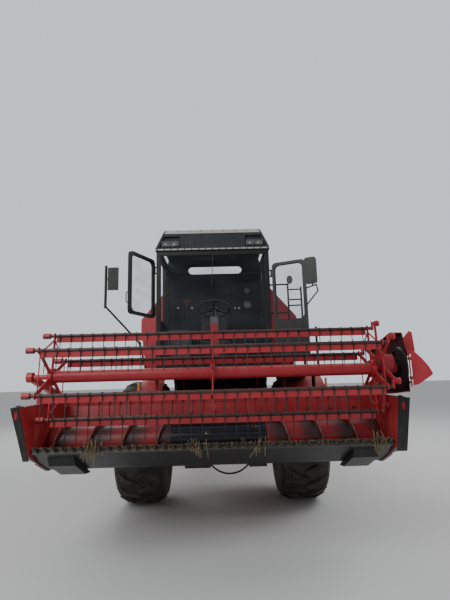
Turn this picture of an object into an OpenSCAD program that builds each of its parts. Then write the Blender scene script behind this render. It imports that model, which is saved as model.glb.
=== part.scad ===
// Small combine harvester with a raised grain header, both cab doors open.
// Millimetres. X to the machine's left, Y to the rear, Z up, front axle over Y = 0
// before the shift that centres the whole machine on the origin.

/* [Place on the ground] */
// shift that brings the middle of the width to the origin
x_shift = -83; // [-200:1:200]
// shift that brings the middle of the length to the origin
y_shift = -887; // [-1500:1:0]

/* [Front wheels] */
// radius over the lugs
front_r = 790; // [600:1:950]
// tyre width
front_w = 604; // [400:1:750]
// wheel centre from the middle plane
front_x = 1025; // [850:1:1300]
// bead seat radius
front_rim_r = 330; // [250:1:420]
// lug pairs round the tyre
front_lugs = 20; // [12:1:28]
// lug height
front_lug_h = 42; // [20:1:70]
// how far the loaded front axle sits under its free radius
front_sit = 0.35; // [0:0.05:40]

/* [Rear wheels] */
// radius over the ribs and lugs
rear_r = 480; // [350:1:650]
// tyre width
rear_w = 310; // [200:1:420]
// wheel centre from the middle plane
rear_x = 930; // [800:1:1200]
// bead seat radius
rear_rim_r = 228; // [150:1:300]
// lug pairs round the tyre
rear_lugs = 18; // [12:1:28]
// lug height
rear_lug_h = 24; // [10:1:40]
// how far the loaded rear axle sits under its free radius
rear_sit = 1.75; // [0:0.05:30]
// front axle to rear axle
wheelbase = 3150; // [2500:1:4000]
// king pin from the middle plane
king_x = 740; // [600:1:900]
// king pin radius
king_r = 18; // [12:1:30]

/* [Body] */
// half width of the threshing body
body_hw = 600; // [500:1:640]
// underside of the body
body_z0 = 960; // [900:1:1100]
// top of the body behind the cab
body_z1 = 1760; // [1650:1:1900]
// rear end of the body
body_y1 = 2450; // [2000:1:2700]
// rear end of the straw hood
hood_y1 = 4300; // [3900:1:4600]
// top of the straw hood
hood_z1 = 2060; // [1900:1:2300]
// underside of the walkway
deck_z0 = 1590; // [1570:1:1700]
// walkway thickness
deck_t = 48; // [20:1:80]
// front edge of the walkway
deck_y0 = -1300; // [-1400:1:-1200]
// sheet thickness of the hollow housings
sheet = 10; // [4:1:20]
// half width of the tank at its shoulder
tank_hw = 1125; // [1000:1:1300]
// half width of the tank over the tyres
tank_low_hw = 1040; // [900:1:1200]
// shoulder height of the tank
tank_z = 2450; // [2200:1:2600]
// top of the tank
tank_top = 2960; // [2700:1:3200]
// half width of the tank at its top
tank_top_hw = 692; // [600:1:1000]
// rear end of the tank
tank_y1 = 1640; // [1300:1:1900]

/* [Cab] */
// middle of the cab
cab_x = -61; // [-150:1:150]
// half width
cab_hw = 693; // [600:1:800]
// front face
cab_y0 = -1035; // [-1150:1:-900]
// rear face
cab_y1 = 0; // [-50:1:20]
// lower edge of the roof cap
roof_z0 = 3150; // [3000:1:3300]
// top of the roof cap
roof_z1 = 3454; // [3300:1:3600]
// half width of the flat top of the roof
roof_hw = 605; // [500:1:700]
// corner post
post = 46; // [30:1:70]
// pane thickness
pane = 6; // [3:1:12]
// left door: width
door_w = 430; // [380:1:600]
// left door: lower edge
door_z0 = 1790; // [1760:1:1900]
// left door: upper edge
door_z1 = 2960; // [2800:1:3080]
// left door: angle it stands open
door_open = 118; // [0:1:135]
// right window: width
wing_w = 520; // [400:1:600]
// right window: lower edge
wing_z0 = 2312; // [2200:1:2500]
// right window: upper edge
wing_z1 = 3030; // [2900:1:3080]
// right window: angle it stands open
wing_open = 156; // [0:1:160]
// door frame bar
door_bar = 34; // [20:1:50]
// hinge line outside the cab's side
hinge_out = 22; // [18:1:40]
// hinge pin radius
hinge_r = 7; // [4:0.5:10]

/* [Feeder house] */
// pivot behind the front axle line
feed_y = -330; // [-450:1:-250]
// pivot height
feed_z = 1370; // [1250:1:1420]
// half width
feed_hw = 430; // [350:1:460]
// radius of the rounded rear end
feed_r = 190; // [150:1:200]
// pivot stub radius
feed_pin = 40; // [25:1:60]

/* [Header] */
// middle of the header
head_x = -69; // [-200:1:200]
// knife line: front to rear place
knife_y = -2361; // [-2500:1:-2200]
// knife line: height, header raised
knife_z = 1030; // [100:1:1100]
// tilt of the table, front up
head_tilt = 22; // [-10:0.5:30]
// half length of the knife
knife_hl = 1524; // [1200:1:1800]
// inner face of the end walls
wall_x = 1585; // [1300:1:1900]
// end wall thickness
wall_t = 8; // [4:1:16]
// knife guard spacing
guard_pitch = 76.2; // [50:0.1:100]
// auger axis behind the knife line, along the table
auger_y = 559; // [450:1:650]
// auger axis over the knife line
auger_z = 194; // [150:1:260]
// auger radius over the flights
auger_r = 205; // [180:1:260]
// auger drum radius
drum_r = 155; // [100:1:200]
// flight pitch
flight_pitch = 320; // [250:1:600]
// auger shaft radius
auger_pin = 30; // [20:1:40]
// back wall height over the knife line
back_z = 690; // [500:1:760]

/* [Reel] */
// reel axis: front to rear place
reel_y = -2208; // [-2400:1:-2000]
// reel axis: height
reel_z = 1637; // [1500:1:1800]
// radius of the bat circle
reel_r = 374; // [300:1:550]
// angle of the first bat over the rear horizontal
reel_a = 24.5; // [0:0.5:60]
// half length of the bats
bat_hl = 1477; // [1200:1:1600]
// bat pipe radius
bat_pipe = 15; // [10:1:20]
// bat board height
bat_h = 52; // [30:1:80]
// tine length under the pipe
tine_l = 195; // [120:1:220]
// tine wire radius
tine_r = 4; // [2:0.5:6]
// tine spacing
tine_pitch = 100; // [80:1:200]
// centre tube radius
tube_r = 54; // [40:1:80]
// reel shaft radius
shaft_r = 22; // [15:1:30]
// rise of the steering ring over the reel axis
ring_e = 45; // [30:1:60]
// arm pivot along the table
arm_y = 840; // [780:1:900]
// arm pivot over the knife line
arm_z = 740; // [700:1:800]
// middle of the arms from the header middle
arm_x = 1640; // [1400:1:1900]

/* [Unloading tube] */
// swing axis from the middle plane
spout_x = 1150; // [1000:1:1300]
// swing axis: front to rear place
spout_y = 1800; // [1000:1:2000]
// tube axis height
spout_z = 2310; // [2000:1:2700]
// tube radius
spout_r = 110; // [80:1:150]
// tube length
spout_l = 2550; // [2000:1:3500]

/* [Hidden] */
$fn = 48;
// node to show, or all

red = [0.72, 0.1, 0.08];
black = [0.1, 0.1, 0.11];
steel = [0.5, 0.5, 0.52];
rubber = [0.07, 0.07, 0.07];
glass = [0.6, 0.75, 0.8, 0.35];
cream = [0.78, 0.76, 0.7];

// header axes seen from the side: along the table and square to it
function tab_y(y, z) = knife_y + y * cos(head_tilt) + z * sin(head_tilt);
function tab_z(y, z) = knife_z - y * sin(head_tilt) + z * cos(head_tilt);

pivot_y = tab_y(arm_y, arm_z);
pivot_z = tab_z(arm_y, arm_z);
arm_l = norm([reel_y - pivot_y, reel_z - pivot_z]);
arm_a = atan2(reel_z - pivot_z, pivot_y - reel_y);
rear_y = wheelbase;
front_z = front_r - front_sit;
rear_z = rear_r - rear_sit;
bats = 6;
function bat_y(i) = reel_y + reel_r * cos(reel_a + 60 * i);
function bat_z(i) = reel_z + reel_r * sin(reel_a + 60 * i);
gap = 0.3;

// outline with round corners
function rounded(y0, y1, z0, z1, r) = [for (c = [[y1 - r, z1 - r, 0], [y0 + r, z1 - r, 90], [y0 + r,
    z0 + r, 180],
    [y1 - r, z0 + r, 270]]) for (a = [0:15:90]) [c[0] + r * cos(c[2] + a), c[1] + r * sin(c[2] + a)]];

// point on the line from a to b
function between(a, b, t) = a + (b - a) * t;

// lift cylinders under the feeder house
lift_x = 330;
lift_by = 0;
lift_bz = 545;
lift_py = -1043;
lift_pz = 798;
lift_l = norm([lift_py - lift_by, lift_pz - lift_bz]);
lift_a = atan2(lift_pz - lift_bz, lift_by - lift_py);
lift_bore_l = 560;
lift_rod_l = 590;
lift_pin = 15;
// room for the drift of a rod's eye on its pin
lift_slack = 7;
rlift_slack = 2.2;
engine_y = body_y1 - 500;
axle_r = 70;
tie_y = 165;

// reel lift cylinders at the end walls
rlift_by = tab_y(686, 439);
rlift_bz = tab_z(686, 439);
rlift_along = 400;
rlift_py = pivot_y - rlift_along * cos(arm_a);
rlift_pz = pivot_z + rlift_along * sin(arm_a);
rlift_l = norm([rlift_py - rlift_by, rlift_pz - rlift_bz]);
rlift_a = atan2(rlift_pz - rlift_bz, rlift_by - rlift_py);

module box(x0, x1, y0, y1, z0, z1)
    translate([x0, y0, z0]) cube([x1 - x0, y1 - y0, z1 - z0]);

// outline in the side view, given width along X
module side(x0, x1, pts)
    translate([x0, 0, 0]) rotate([90, 0, 90]) linear_extrude(x1 - x0) polygon(pts);

// outline in the front view, given length along Y
module front(y0, y1, pts)
    translate([0, y1, 0]) rotate([90, 0, 0]) linear_extrude(y1 - y0) polygon(pts);

// round bar along X
module across(x0, x1, y, z, r)
    translate([x0, y, z]) rotate([0, 90, 0]) cylinder(h = x1 - x0, r = r);

// round bar between two points
module rod(p, q, r) {
    d = q - p;
    translate(p) rotate([0, acos(d[2] / norm(d)), atan2(d[1], d[0])]) cylinder(h = norm(d), r = r);
}

// round bars through a list of points
module rail(pts, r) {
    for (i = [0:len(pts) - 2]) rod(pts[i], pts[i + 1], r);
    for (i = [1:len(pts) - 2]) translate(pts[i]) sphere(r = r * 1.2);
}

module place() translate([x_shift, y_shift, 0]) children();
module table() place() translate([head_x, knife_y, knife_z]) rotate([-head_tilt, 0, 0]) children();
module mirrored() for (s = [-1, 1]) scale([s, 1, 1]) children();

// running gear

module chassis_frame() color(black) place() difference() {
    union() {
        for (s = [-1, 1]) {
            box(s * 420 - 40, s * 420 + 40, -300, 3480, 860, 960);
        }
        for (y = [-300, 1200, 2350, 3400]) box(-460, 460, y, y + 80, 870, 950);
        // rear axle trunnion
        for (y = [rear_y - 110, rear_y + 80])
            front(y, y + 30, [[-90, 560], [-60, 500], [60, 500], [90, 560], [140, 870], [-140, 870]]);
        box(-460, 460, rear_y - 110, rear_y + 110, 861, 900);
        // tow hitch
        box(-160, 160, 3480, 3500, 780, 960);
        for (z = [800, 900]) box(-60, 60, 3499, 3600, z, z + 24);
    }
    translate([0, 3555, 700]) cylinder(h = 300, r = 16.5);
    translate([0, rear_y - 200, 550]) rotate([-90, 0, 0]) cylinder(h = 400, r = 24);
}

module front_axle() color(black) place() difference() {
    union() {
        across(-560, 560, 0, front_z, axle_r);
        for (s = [-1, 1]) scale([s, 1, 1]) {
            side(540, 640, [[-120, 650], [-60, 610], [60, 610], [120, 650], [150, 800], [110, 960],
                [-110, 960], [-150, 800]]);
            across(639, 690, 0, front_z, 150);
            across(689, front_x - 24, 0, front_z, 60);
            // brackets of the lift cylinders
            for (t = [-26, 26]) side(lift_x + t - 7, lift_x + t + 7,
                [[-66, 790], [-45, 505], [45, 505], [66, 790]]);
        }
    }
    across(-400, 400, lift_by, lift_bz, lift_pin + gap);
}

// tyre section: radius and half width, closed by its mirror image
module tyre(r, w, bead, lugs, lug_h, fold) {
    base = r - lug_h;
    hw = w / 2;
    difference() {
        union() {
            rotate([0, 90, 0]) rotate_extrude($fn = 72) polygon([
                [bead + 2, hw * 0.72], [bead + 25, hw * 0.72], [bead + 34, hw * 0.86],
                    [bead + (base - bead) * 0.35, hw * 0.985],
                [bead + (base - bead) * 0.6, hw], [bead + (base - bead) * 0.86, hw * 0.965],
                [base - 6, hw * 0.84], [base, hw * 0.5], [base, -hw * 0.5], [base - 6, -hw * 0.84],
                [bead + (base - bead) * 0.86, -hw * 0.965], [bead + (base - bead) * 0.6, -hw],
                [bead + (base - bead) * 0.35, -hw * 0.985], [bead + 34, -hw * 0.86],
                [bead + 25, -hw * 0.72], [bead + 2, -hw * 0.72]]);
            for (i = [0:lugs - 1]) for (s = [-1, 1])
                rotate([(i + (s + 1) / 4) * 360 / lugs, 0, 0]) rotate([0, 0, s * fold])
                    translate([s > 0 ? -hw * 0.03 : -hw * 1.04, 0, 0]) lug(hw * 1.07, base - 14, r, s,
                        lug_h);
        }
    }
}

// lug with a sloping shoulder, s = side of the tread it lies on
module lug(l, r0, r1, s, h)
    translate([0, h * 0.62, 0]) rotate([90, 0, 0]) linear_extrude(h * 1.24) polygon(s > 0
        ? [[0, r0], [0, r1 - h * 0.24], [l * 0.62, r1 - h * 0.24], [l, r1 - h * 1.7], [l * 0.9,
            r0 - h * 1.2]]
        : [[l, r0], [l, r1 - h * 0.24], [l * 0.38, r1 - h * 0.24], [0, r1 - h * 1.7], [l * 0.1,
            r0 - h * 1.2]]);

// rim, dish and hub; bore runs on the axle
module rim(bead, w, dish, hub_r, hub0, hub1, bore) {
    hw = w / 2;
    rotate([0, 90, 0]) difference() {
        union() {
            rotate_extrude($fn = 72) polygon([
                [bead - 20, hw * 0.74], [bead + 22, hw * 0.74], [bead + 22, hw * 0.72 + gap],
                [bead + 2 - gap, hw * 0.72 + gap], [bead + 2 - gap, -hw * 0.72 - gap],
                [bead + 22, -hw * 0.72 - gap], [bead + 22, -hw * 0.74], [bead - 20, -hw * 0.74],
                [bead - 20, -hw * 0.68], [bead - 10, -hw * 0.64], [bead - 10, hw * 0.64],
                [bead - 20, hw * 0.68]]);
            rotate_extrude($fn = 72) polygon([[bore + 5, dish], [hub_r, dish], [hub_r + 40, dish + 30],
                [bead - 8, dish + 60], [bead - 8, dish + 72], [hub_r + 34, dish + 44], [hub_r - 4,
                    dish + 14],
                [bore + 5, dish + 14]]);
            translate([0, 0, hub0]) cylinder(h = hub1 - hub0, r = hub_r - 18);
            for (a = [0:45:315]) rotate([0, 0, a]) translate([hub_r - 5, 0, dish + 8])
                cylinder(h = 20, r = 9, $fn = 6);
        }
        translate([0, 0, hub0 - 1]) cylinder(h = dish + 40 - hub0, r = bore);
    }
}

module front_tyre(s) color(rubber) place() translate([s * front_x, 0, front_z])
    tyre(front_r, front_w, front_rim_r, front_lugs, front_lug_h, 32);
module front_rim(s) color(red) place() translate([s * front_x, 0, front_z]) scale([s, 1, 1])
    rim(front_rim_r, front_w, -60, 150, -290, 40, 60 + gap);
module rear_tyre(s) color(rubber) place() translate([s * rear_x, rear_y, rear_z])
    tyre(rear_r, rear_w, rear_rim_r, rear_lugs, rear_lug_h, 32);
module rear_rim(s) color(red) place() translate([s * rear_x, rear_y, rear_z]) scale([s, 1, 1])
    rim(rear_rim_r, rear_w, -20, 90, -90, 50, 35 + gap);

module rear_axle() color(black) place() {
    difference() {
        union() {
            box(-660, 660, rear_y - 60, rear_y + 60, 500, 610);
            translate([0, rear_y - 78, 550]) rotate([-90, 0, 0]) cylinder(h = 156, r = 50);
            for (s = [-1, 1]) for (z = [[585, 612], [412, 440]])
                box(s * king_x - (s > 0 ? 90 : 45), s * king_x + (s > 0 ? 45 : 90), rear_y - 45, rear_y + 45,
                    z[0], z[1]);
            for (s = [-1, 1]) box(s * 655 - 5, s * 655 + 5, rear_y - 45, rear_y + 45, 412, 612);
        }
        for (s = [-1, 1]) translate([s * king_x, rear_y, 380]) cylinder(h = 300, r = king_r + gap);
        translate([0, rear_y - 100, 550]) rotate([-90, 0, 0]) cylinder(h = 200, r = 24);
    }
    // trunnion pin
    translate([0, rear_y - 130, 550]) rotate([-90, 0, 0]) cylinder(h = 260, r = 24 - gap);
    translate([0, rear_y - 126, 550]) rotate([-90, 0, 0]) cylinder(h = 12, r = 34);
    translate([0, rear_y + 114, 550]) rotate([-90, 0, 0]) cylinder(h = 12, r = 34);
}

module knuckle(s) color(steel) place() scale([s, 1, 1]) {
    difference() {
        union() {
            translate([king_x, rear_y, 442]) cylinder(h = 141, r = 38);
            translate([king_x, rear_y, 404]) cylinder(h = 216, r = king_r);
            across(king_x + 10, rear_x + 12, rear_y, rear_z, 35);
            // steering arm
            translate([0, 0, 545]) linear_extrude(22) polygon([[king_x - 26, rear_y], [king_x + 26, rear_y],
                [king_x + 24, rear_y + 190], [king_x - 24, rear_y + 190]]);
        }
        translate([king_x, rear_y + tie_y, 500]) cylinder(h = 100, r = 10 + gap);
    }
}

module tie_rod() color(steel) place() {
    for (s = [-1, 1]) translate([s * king_x, rear_y + tie_y, 0]) {
        translate([0, 0, 540]) cylinder(h = 50, r = 10);
        translate([0, 0, 570]) cylinder(h = 56, r = 20);
    }
    across(-king_x, king_x, rear_y + tie_y, 608, 13);
}

// body

module thresher_body() color(red) place() {
    difference() {
        union() {
            side(-body_hw, body_hw, [[feed_y + feed_r + 12, deck_z0 + deck_t], [feed_y + feed_r + 12, 1120],
                [60, body_z0], [body_y1, body_z0], [body_y1, body_z1], [cab_y1 + 30, body_z1],
                [cab_y1 + 30, deck_z0 + deck_t]]);
            // cheeks that carry the feeder house
            for (s = [-1, 1]) scale([s, 1, 1])
                side(feed_hw + 30, body_hw, [[-470, deck_z0], [-470, 1260], [-250, 1100], [-100, 1100],
                    [-100, deck_z0]]);
            for (s = [-1, 1]) scale([s, 1, 1]) box(400, 461, -240, 100, body_z0, 1130);
        }
        across(-700, 700, feed_y, feed_z, feed_pin + gap);
    }
    // ribs and inspection doors on the sides
    for (s = [-1, 1]) scale([s, 1, 1]) {
        for (y = [420, 1180, 1940]) box(body_hw - 1, body_hw + 22, y, y + 46, 990, body_z1 - 20);
        box(body_hw - 1, body_hw + 12, 520, 1120, 1090, 1600);
        box(body_hw - 1, body_hw + 12, 1280, 1880, 1090, 1600);
    }
}

// belt drive on the right side. One row a pulley: front to rear place, height, radius
pulleys = [[900, 1024, 130], [1560, 1030, 90], [2200, 1250, 170], [2160, 1660, 80]];
belt_x = body_hw + 36;

// belt run between pulleys p and q in the plane x
module belt(p, q, x) {
    d = norm([q[0] - p[0], q[1] - p[1]]);
    for (s = [-1, 1]) let (a = atan2(q[1] - p[1], q[0] - p[0]) + s * acos((p[2] - q[2]) / d))
        side(x, x + 22, [for (c = [[p, -4], [p, 9], [q, 9], [q, -4]]) [c[0][0] + (c[0][2] + c[1]) * cos(a),
            c[0][1] + (c[0][2] + c[1]) * sin(a)]]);
}

module side_drive() color(black) place() scale([-1, 1, 1]) {
    for (p = pulleys) {
        across(body_hw + gap, belt_x + 66, p[0], p[1], 24);
        translate([belt_x, p[0], p[1]]) rotate([0, 90, 0]) rotate_extrude() polygon([[20, -2], [p[2], -2],
            [p[2] - 8, 11], [p[2], 24], [p[2] - 8, 37], [p[2], 50], [p[2] - 18, 50], [p[2] - 24, 30],
                [46, 30],
            [46, 56], [20, 56]]);
    }
    for (i = [0:len(pulleys) - 2]) belt(pulleys[i], pulleys[i + 1], belt_x + (i % 2) * 26);
}

module straw_hood() color(red) place() {
    difference() {
        side(-body_hw, body_hw, [[body_y1, body_z0 + 40], [body_y1, hood_z1], [hood_y1 - 700, hood_z1],
            [hood_y1, hood_z1 - 300], [hood_y1, body_z0 + 280], [hood_y1 - 400, body_z0 + 50]]);
        side(-body_hw + sheet, body_hw - sheet, [[body_y1 + sheet, body_z0 - 60], [body_y1 + sheet,
            hood_z1 - sheet],
            [hood_y1 - 700, hood_z1 - sheet], [hood_y1 - sheet, hood_z1 - 298 - sheet],
            [hood_y1 - sheet, body_z0 + 140], [hood_y1 - 350, body_z0 - 60]]);
    }
    // ribs on both sides
    for (s = [-1, 1]) scale([s, 1, 1]) for (y = [body_y1 + 60, body_y1 + 620, body_y1 + 1180])
        box(body_hw - 1, body_hw + 16, y, y + 42, body_z0 + 80, hood_z1 - 60);
}

module grain_tank() color(red) place() {
    difference() {
        front(30, tank_y1, [[-tank_low_hw, 1640], [-body_hw - 24, 1640], [-body_hw - 24, body_z1],
            [body_hw + 24, body_z1], [body_hw + 24, 1640], [tank_low_hw, 1640], [tank_hw, 2300],
            [tank_hw, tank_z], [tank_top_hw, tank_top], [-tank_top_hw, tank_top], [-tank_hw, tank_z],
            [-tank_hw, 2300]]);
        // hopper, open at the top
        front(30 + sheet, tank_y1 - sheet, [[-520, body_z1 + 40], [520, body_z1 + 40],
            [tank_hw - sheet, 2310], [tank_hw - sheet, tank_z - 6], [tank_top_hw - sheet, tank_top + 1],
            [-tank_top_hw + sheet, tank_top + 1], [-tank_hw + sheet, tank_z - 6], [-tank_hw + sheet, 2310]]);
    }
    // pressed ribs on both sides
    for (s = [-1, 1]) scale([s, 1, 1]) for (k = [1:3]) let (y = 30 + (tank_y1 - 30) * k / 4)
        front(y - 22, y + 22, [[tank_low_hw - 4, 1660], [tank_low_hw + 9, 1660], [tank_hw + 10, 2302],
            [tank_hw + 10, tank_z - 20], [tank_hw - 4, tank_z - 20], [tank_hw - 4, 2300]]);
    // rolled top edge
    for (y = [30, tank_y1 - 40]) box(-tank_top_hw, tank_top_hw, y, y + 40, tank_top - 1, tank_top + 24);
    for (s = [-1, 1]) box(s * (tank_top_hw - 20) - 20, s * (tank_top_hw - 20) + 20, 30, tank_y1,
        tank_top - 1,
        tank_top + 24);
    // elbow of the unloading auger
    difference() {
        union() {
            translate([spout_x, spout_y, 1900]) cylinder(h = 250, r = spout_r);
            translate([spout_x, spout_y, 2120]) cylinder(h = 30, r = spout_r + 30);
        }
        translate([spout_x, spout_y, 2090]) cylinder(h = 100, r = 40 + gap);
    }
    rod([tank_low_hw - 80, tank_y1 - 20, 1900], [spout_x, spout_y, 1960], 90);
}

module engine_hood() color(red) place() difference() {
    side(-780, 780, [[tank_y1 + 10, body_z1], [tank_y1 + 10, 2640], [body_y1 - 100, 2640],
        [body_y1 + 150, 2480],
        [body_y1 + 150, hood_z1 + 1], [body_y1, hood_z1 + 1], [body_y1, body_z1]]);
    difference() {
        side(-780 + sheet, 780 - sheet, [[tank_y1 + 20, body_z1 - 1], [tank_y1 + 20, 2630],
            [body_y1 - 104, 2630],
            [body_y1 + 140, 2474], [body_y1 + 140, hood_z1 + 11], [body_y1 - 10, hood_z1 + 11],
            [body_y1 - 10, body_z1 - 1]]);
        box(-790, 790, tank_y1, tank_y1 + 20, 1700, 2700);
    }
    // louvres on both sides
    for (s = [-1, 1]) for (i = [0:6]) box(s * 780 - 30, s * 780 + 30, engine_y - 160, engine_y + 300,
        1930 + 80 * i, 1972 + 80 * i);
    translate([-300, engine_y, 2600]) cylinder(h = 100, r = 60);
    translate([260, engine_y, 2600]) cylinder(h = 100, r = 75);
}

module engine() color(black) place() {
    box(-420, 420, engine_y - 200, engine_y + 380, body_z1 + gap, 2520);
    // exhaust
    translate([-300, engine_y, 2500]) cylinder(h = 420, r = 55);
    rail([[-300, engine_y, 2900], [-300, engine_y, 3080], [-300, engine_y + 120, 3180]], 32);
    // air intake
    translate([260, engine_y, 2500]) cylinder(h = 400, r = 50);
    translate([260, engine_y, 2890]) cylinder(h = 120, r = 110);
    translate([260, engine_y, 3010]) cylinder(h = 40, r1 = 110, r2 = 40);
}

// cab

cab_l = cab_x - cab_hw;
cab_r = cab_x + cab_hw;
floor_z0 = deck_z0 + deck_t;
floor_z1 = floor_z0 + 60;
slot_w = 778;
slot_z = 3151;
slot_h = 112;
hinge_y = cab_y0 + 10;
door_sill = 460;
corner_r = 60;

module slot(y0, y1, g) front(y0, y1, concat(
    [for (a = [-90:10:90]) [cab_x + 17 + (slot_w - slot_h) / 2 + (slot_h / 2 + g) * cos(a),
        slot_z + (slot_h / 2 + g) * sin(a)]],
    [for (a = [90:10:270]) [cab_x + 17 - (slot_w - slot_h) / 2 + (slot_h / 2 + g) * cos(a),
        slot_z + (slot_h / 2 + g) * sin(a)]]));

module hinge_pin(x, s, z) {
    for (t = [-16, 61]) box(min(x - s, x + s * (hinge_out + 8)), max(x - s, x + s * (hinge_out + 8)),
        hinge_y - 8,
        hinge_y + 8, z + t, z + t + 15);
    translate([x + s * hinge_out, hinge_y, z - 10]) cylinder(h = 80, r = hinge_r);
}

module cab_shell() color(black) place() difference() {
    union() {
        box(cab_l, cab_r, cab_y0, cab_y1, floor_z0, floor_z1);
        for (x = [cab_l, cab_r - post]) for (y = [cab_y0, cab_y1 - post]) box(x, x + post, y, y + post,
            floor_z0,
            roof_z0);
        // ring under the roof
        for (x = [cab_l, cab_r - post]) box(x, x + post, cab_y0, cab_y1, roof_z0 - 60, roof_z0);
        for (y = [cab_y0, cab_y1 - post]) box(cab_l, cab_r, y, y + post, roof_z0 - 50, roof_z0);
        // rear wall reaching into the cap
        box(cab_l + 20, cab_r - 20, cab_y1 - 30, cab_y1, floor_z0, 3290);
        // front sill
        box(cab_l, cab_r, cab_y0, cab_y0 + 40, floor_z0, floor_z1 + 60);
        // side posts behind the door and the window
        box(cab_r - post, cab_r, cab_y0 + post + door_w + 12, cab_y0 + post + door_w + 58, floor_z0,
            roof_z0);
        box(cab_l, cab_l + post, cab_y0 + post + wing_w + 12, cab_y0 + post + wing_w + 58, floor_z0,
            roof_z0);
        // lower side panels
        box(cab_r - post, cab_r, cab_y0 + post + door_w + 12, cab_y1, floor_z0, 2240);
        box(cab_l, cab_l + post, cab_y0, cab_y1, floor_z0, wing_z0 - 12);
        box(cab_r - post, cab_r, cab_y0, cab_y1, floor_z0, door_z0 - 12);
        // hinge pins of the door and the window
        for (z = [door_z0 + 90, door_z1 - 150]) hinge_pin(cab_r, 1, z);
        for (z = [wing_z0 + 60, wing_z1 - 150]) hinge_pin(cab_l, -1, z);
        // round vents on the rear wall
        for (v = [[2828, 40], [2622, 50]]) translate([412, cab_y1 - 42, v[0]]) rotate([-90, 0, 0])
            cylinder(h = 13, r = v[1]);
    }
    slot(cab_y1 - 60, cab_y1 + 20, 0);
}

lamp_z = roof_z0 + 42;
function lamp_y(h) = cab_y0 + 15 + h * 0.436;

module cab_roof() color([0.2, 0.2, 0.21]) place() difference() {
    intersection() {
        front(cab_y0 - 60, cab_y1 + 30, [[cab_l - 12, roof_z0], [cab_r + 12, roof_z0],
            [cab_r + 12, roof_z0 + 22], [cab_x + roof_hw, roof_z1], [cab_x - roof_hw, roof_z1],
            [cab_l - 12, roof_z0 + 22]]);
        side(cab_l - 100, cab_r + 100, [[cab_y0 - 20, roof_z0], [cab_y1 + 25, roof_z0], [cab_y1 + 25, 3330],
            [cab_y1 - 60, roof_z1], [cab_y0 + 110, roof_z1], [cab_y0 + 75, roof_z1 - 60],
            [cab_y0 - 20, roof_z0 + 26]]);
    }
    box(cab_l + 18, cab_r - 18, cab_y0 + 80, cab_y1 + gap, roof_z0 - 1, 3300);
    // recesses of the work lamps, parallel to the sloping face
    for (s = [-1, 1]) intersection() {
        translate([cab_x, 0, 0]) scale([s, 1, 1]) front(cab_y0 - 60, cab_y0 + 100, [[402, lamp_z], [664,
            lamp_z],
            [608, lamp_z + 163], [412, lamp_z + 163]]);
        side(cab_l, cab_r, [[cab_y0 - 60, lamp_z], [lamp_y(0), lamp_z], [lamp_y(163), lamp_z + 163],
            [cab_y0 - 60, lamp_z + 163]]);
    }
    slot(cab_y1 - 60, cab_y1 + 60, 6);
}

module cab_glass() color(glass) place() {
    // windscreen
    box(cab_l + post, cab_r - post, cab_y0 + 12, cab_y0 + 12 + pane, floor_z1 + 60, roof_z0 - 50);
    // fixed side panes
    box(cab_r - 26, cab_r - 26 + pane, cab_y0 + post + door_w + 58, cab_y1 - post, 2240, roof_z0 - 60);
    box(cab_l + 20, cab_l + 20 + pane, cab_y0 + post + wing_w + 58, cab_y1 - post, wing_z0 - 12,
        roof_z0 - 60);
}

module cab_seat() color(black) place() {
    box(cab_x - 160, cab_x + 160, -400, -160, floor_z1, floor_z1 + 260);
    box(cab_x - 230, cab_x + 230, -480, -60, floor_z1 + 259, floor_z1 + 380);
    side(cab_x - 220, cab_x + 220, [[-150, floor_z1 + 370], [-50, floor_z1 + 370], [-32, floor_z1 + 860],
        [-110, floor_z1 + 860]]);
}

module cab_controls() color(red) place() {
    // steering column and wheel
    side(cab_x - 48, cab_x + 48, [[-920, floor_z1], [-790, floor_z1], [-800, floor_z1 + 650],
        [-890, floor_z1 + 650]]);
    rod([cab_x, -820, floor_z1 + 630], [cab_x, -740, floor_z1 + 760], 26);
    translate([cab_x, -740, floor_z1 + 760]) rotate([-24, 0, 0]) {
        rotate_extrude() translate([195, 0]) circle(r = 13, $fn = 16);
        for (a = [30, 150, 270]) rotate([0, 0, a]) translate([0, -12, -6]) cube([190, 24, 12]);
        cylinder(h = 24, r = 45, center = true);
    }
    // side console with levers
    box(cab_l + post + 10, cab_l + post + 330, -800, -120, floor_z1, floor_z1 + 500);
    rod([cab_l + post + 294, -640, floor_z1 + 498], [cab_l + post + 294, -700, floor_z1 + 882], 8);
    across(cab_l + post + 236, cab_l + post + 352, -700, floor_z1 + 882, 11);
    for (x = [60, 150]) rod([cab_l + post + x, -500, floor_z1 + 498], [cab_l + post + x, -540,
        floor_z1 + 640], 8);
}

// door frame lying along +Y from its hinge, outer face towards +X
module leaf(w, z0, z1, sill, knuckles) difference() {
    union() {
        difference() {
            side(-door_bar / 2, door_bar / 2, rounded(14, w, z0, z1, 50));
            side(-door_bar, door_bar, rounded(14 + door_bar, w - door_bar, z0 + sill, z1 - door_bar,
                corner_r));
        }
        for (z = knuckles) {
            translate([0, 0, z]) cylinder(h = 60, r = 12);
            box(-12, 12, 0, 20, z, z + 60);
        }
    }
    translate([0, 0, z0]) cylinder(h = z1 - z0, r = hinge_r + gap);
}

// pane in the opening of such a frame
module leaf_pane(w, z0, z1, sill) side(-pane / 2, pane / 2, rounded(14 + door_bar + gap, w - door_bar - gap,
    z0 + sill + gap, z1 - door_bar - gap, corner_r - gap));

module door_place() place() translate([cab_r + hinge_out, hinge_y, 0]) rotate([0, 0, -door_open]) children();
module window_place() place() translate([cab_l - hinge_out, hinge_y, 0]) rotate([0, 0, wing_open])
    scale([-1, 1, 1]) children();

module door_pane() color(glass) door_place() leaf_pane(door_w, door_z0, door_z1, door_sill);
module window_pane() color(glass) window_place() leaf_pane(wing_w, wing_z0, wing_z1, door_bar);

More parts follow.
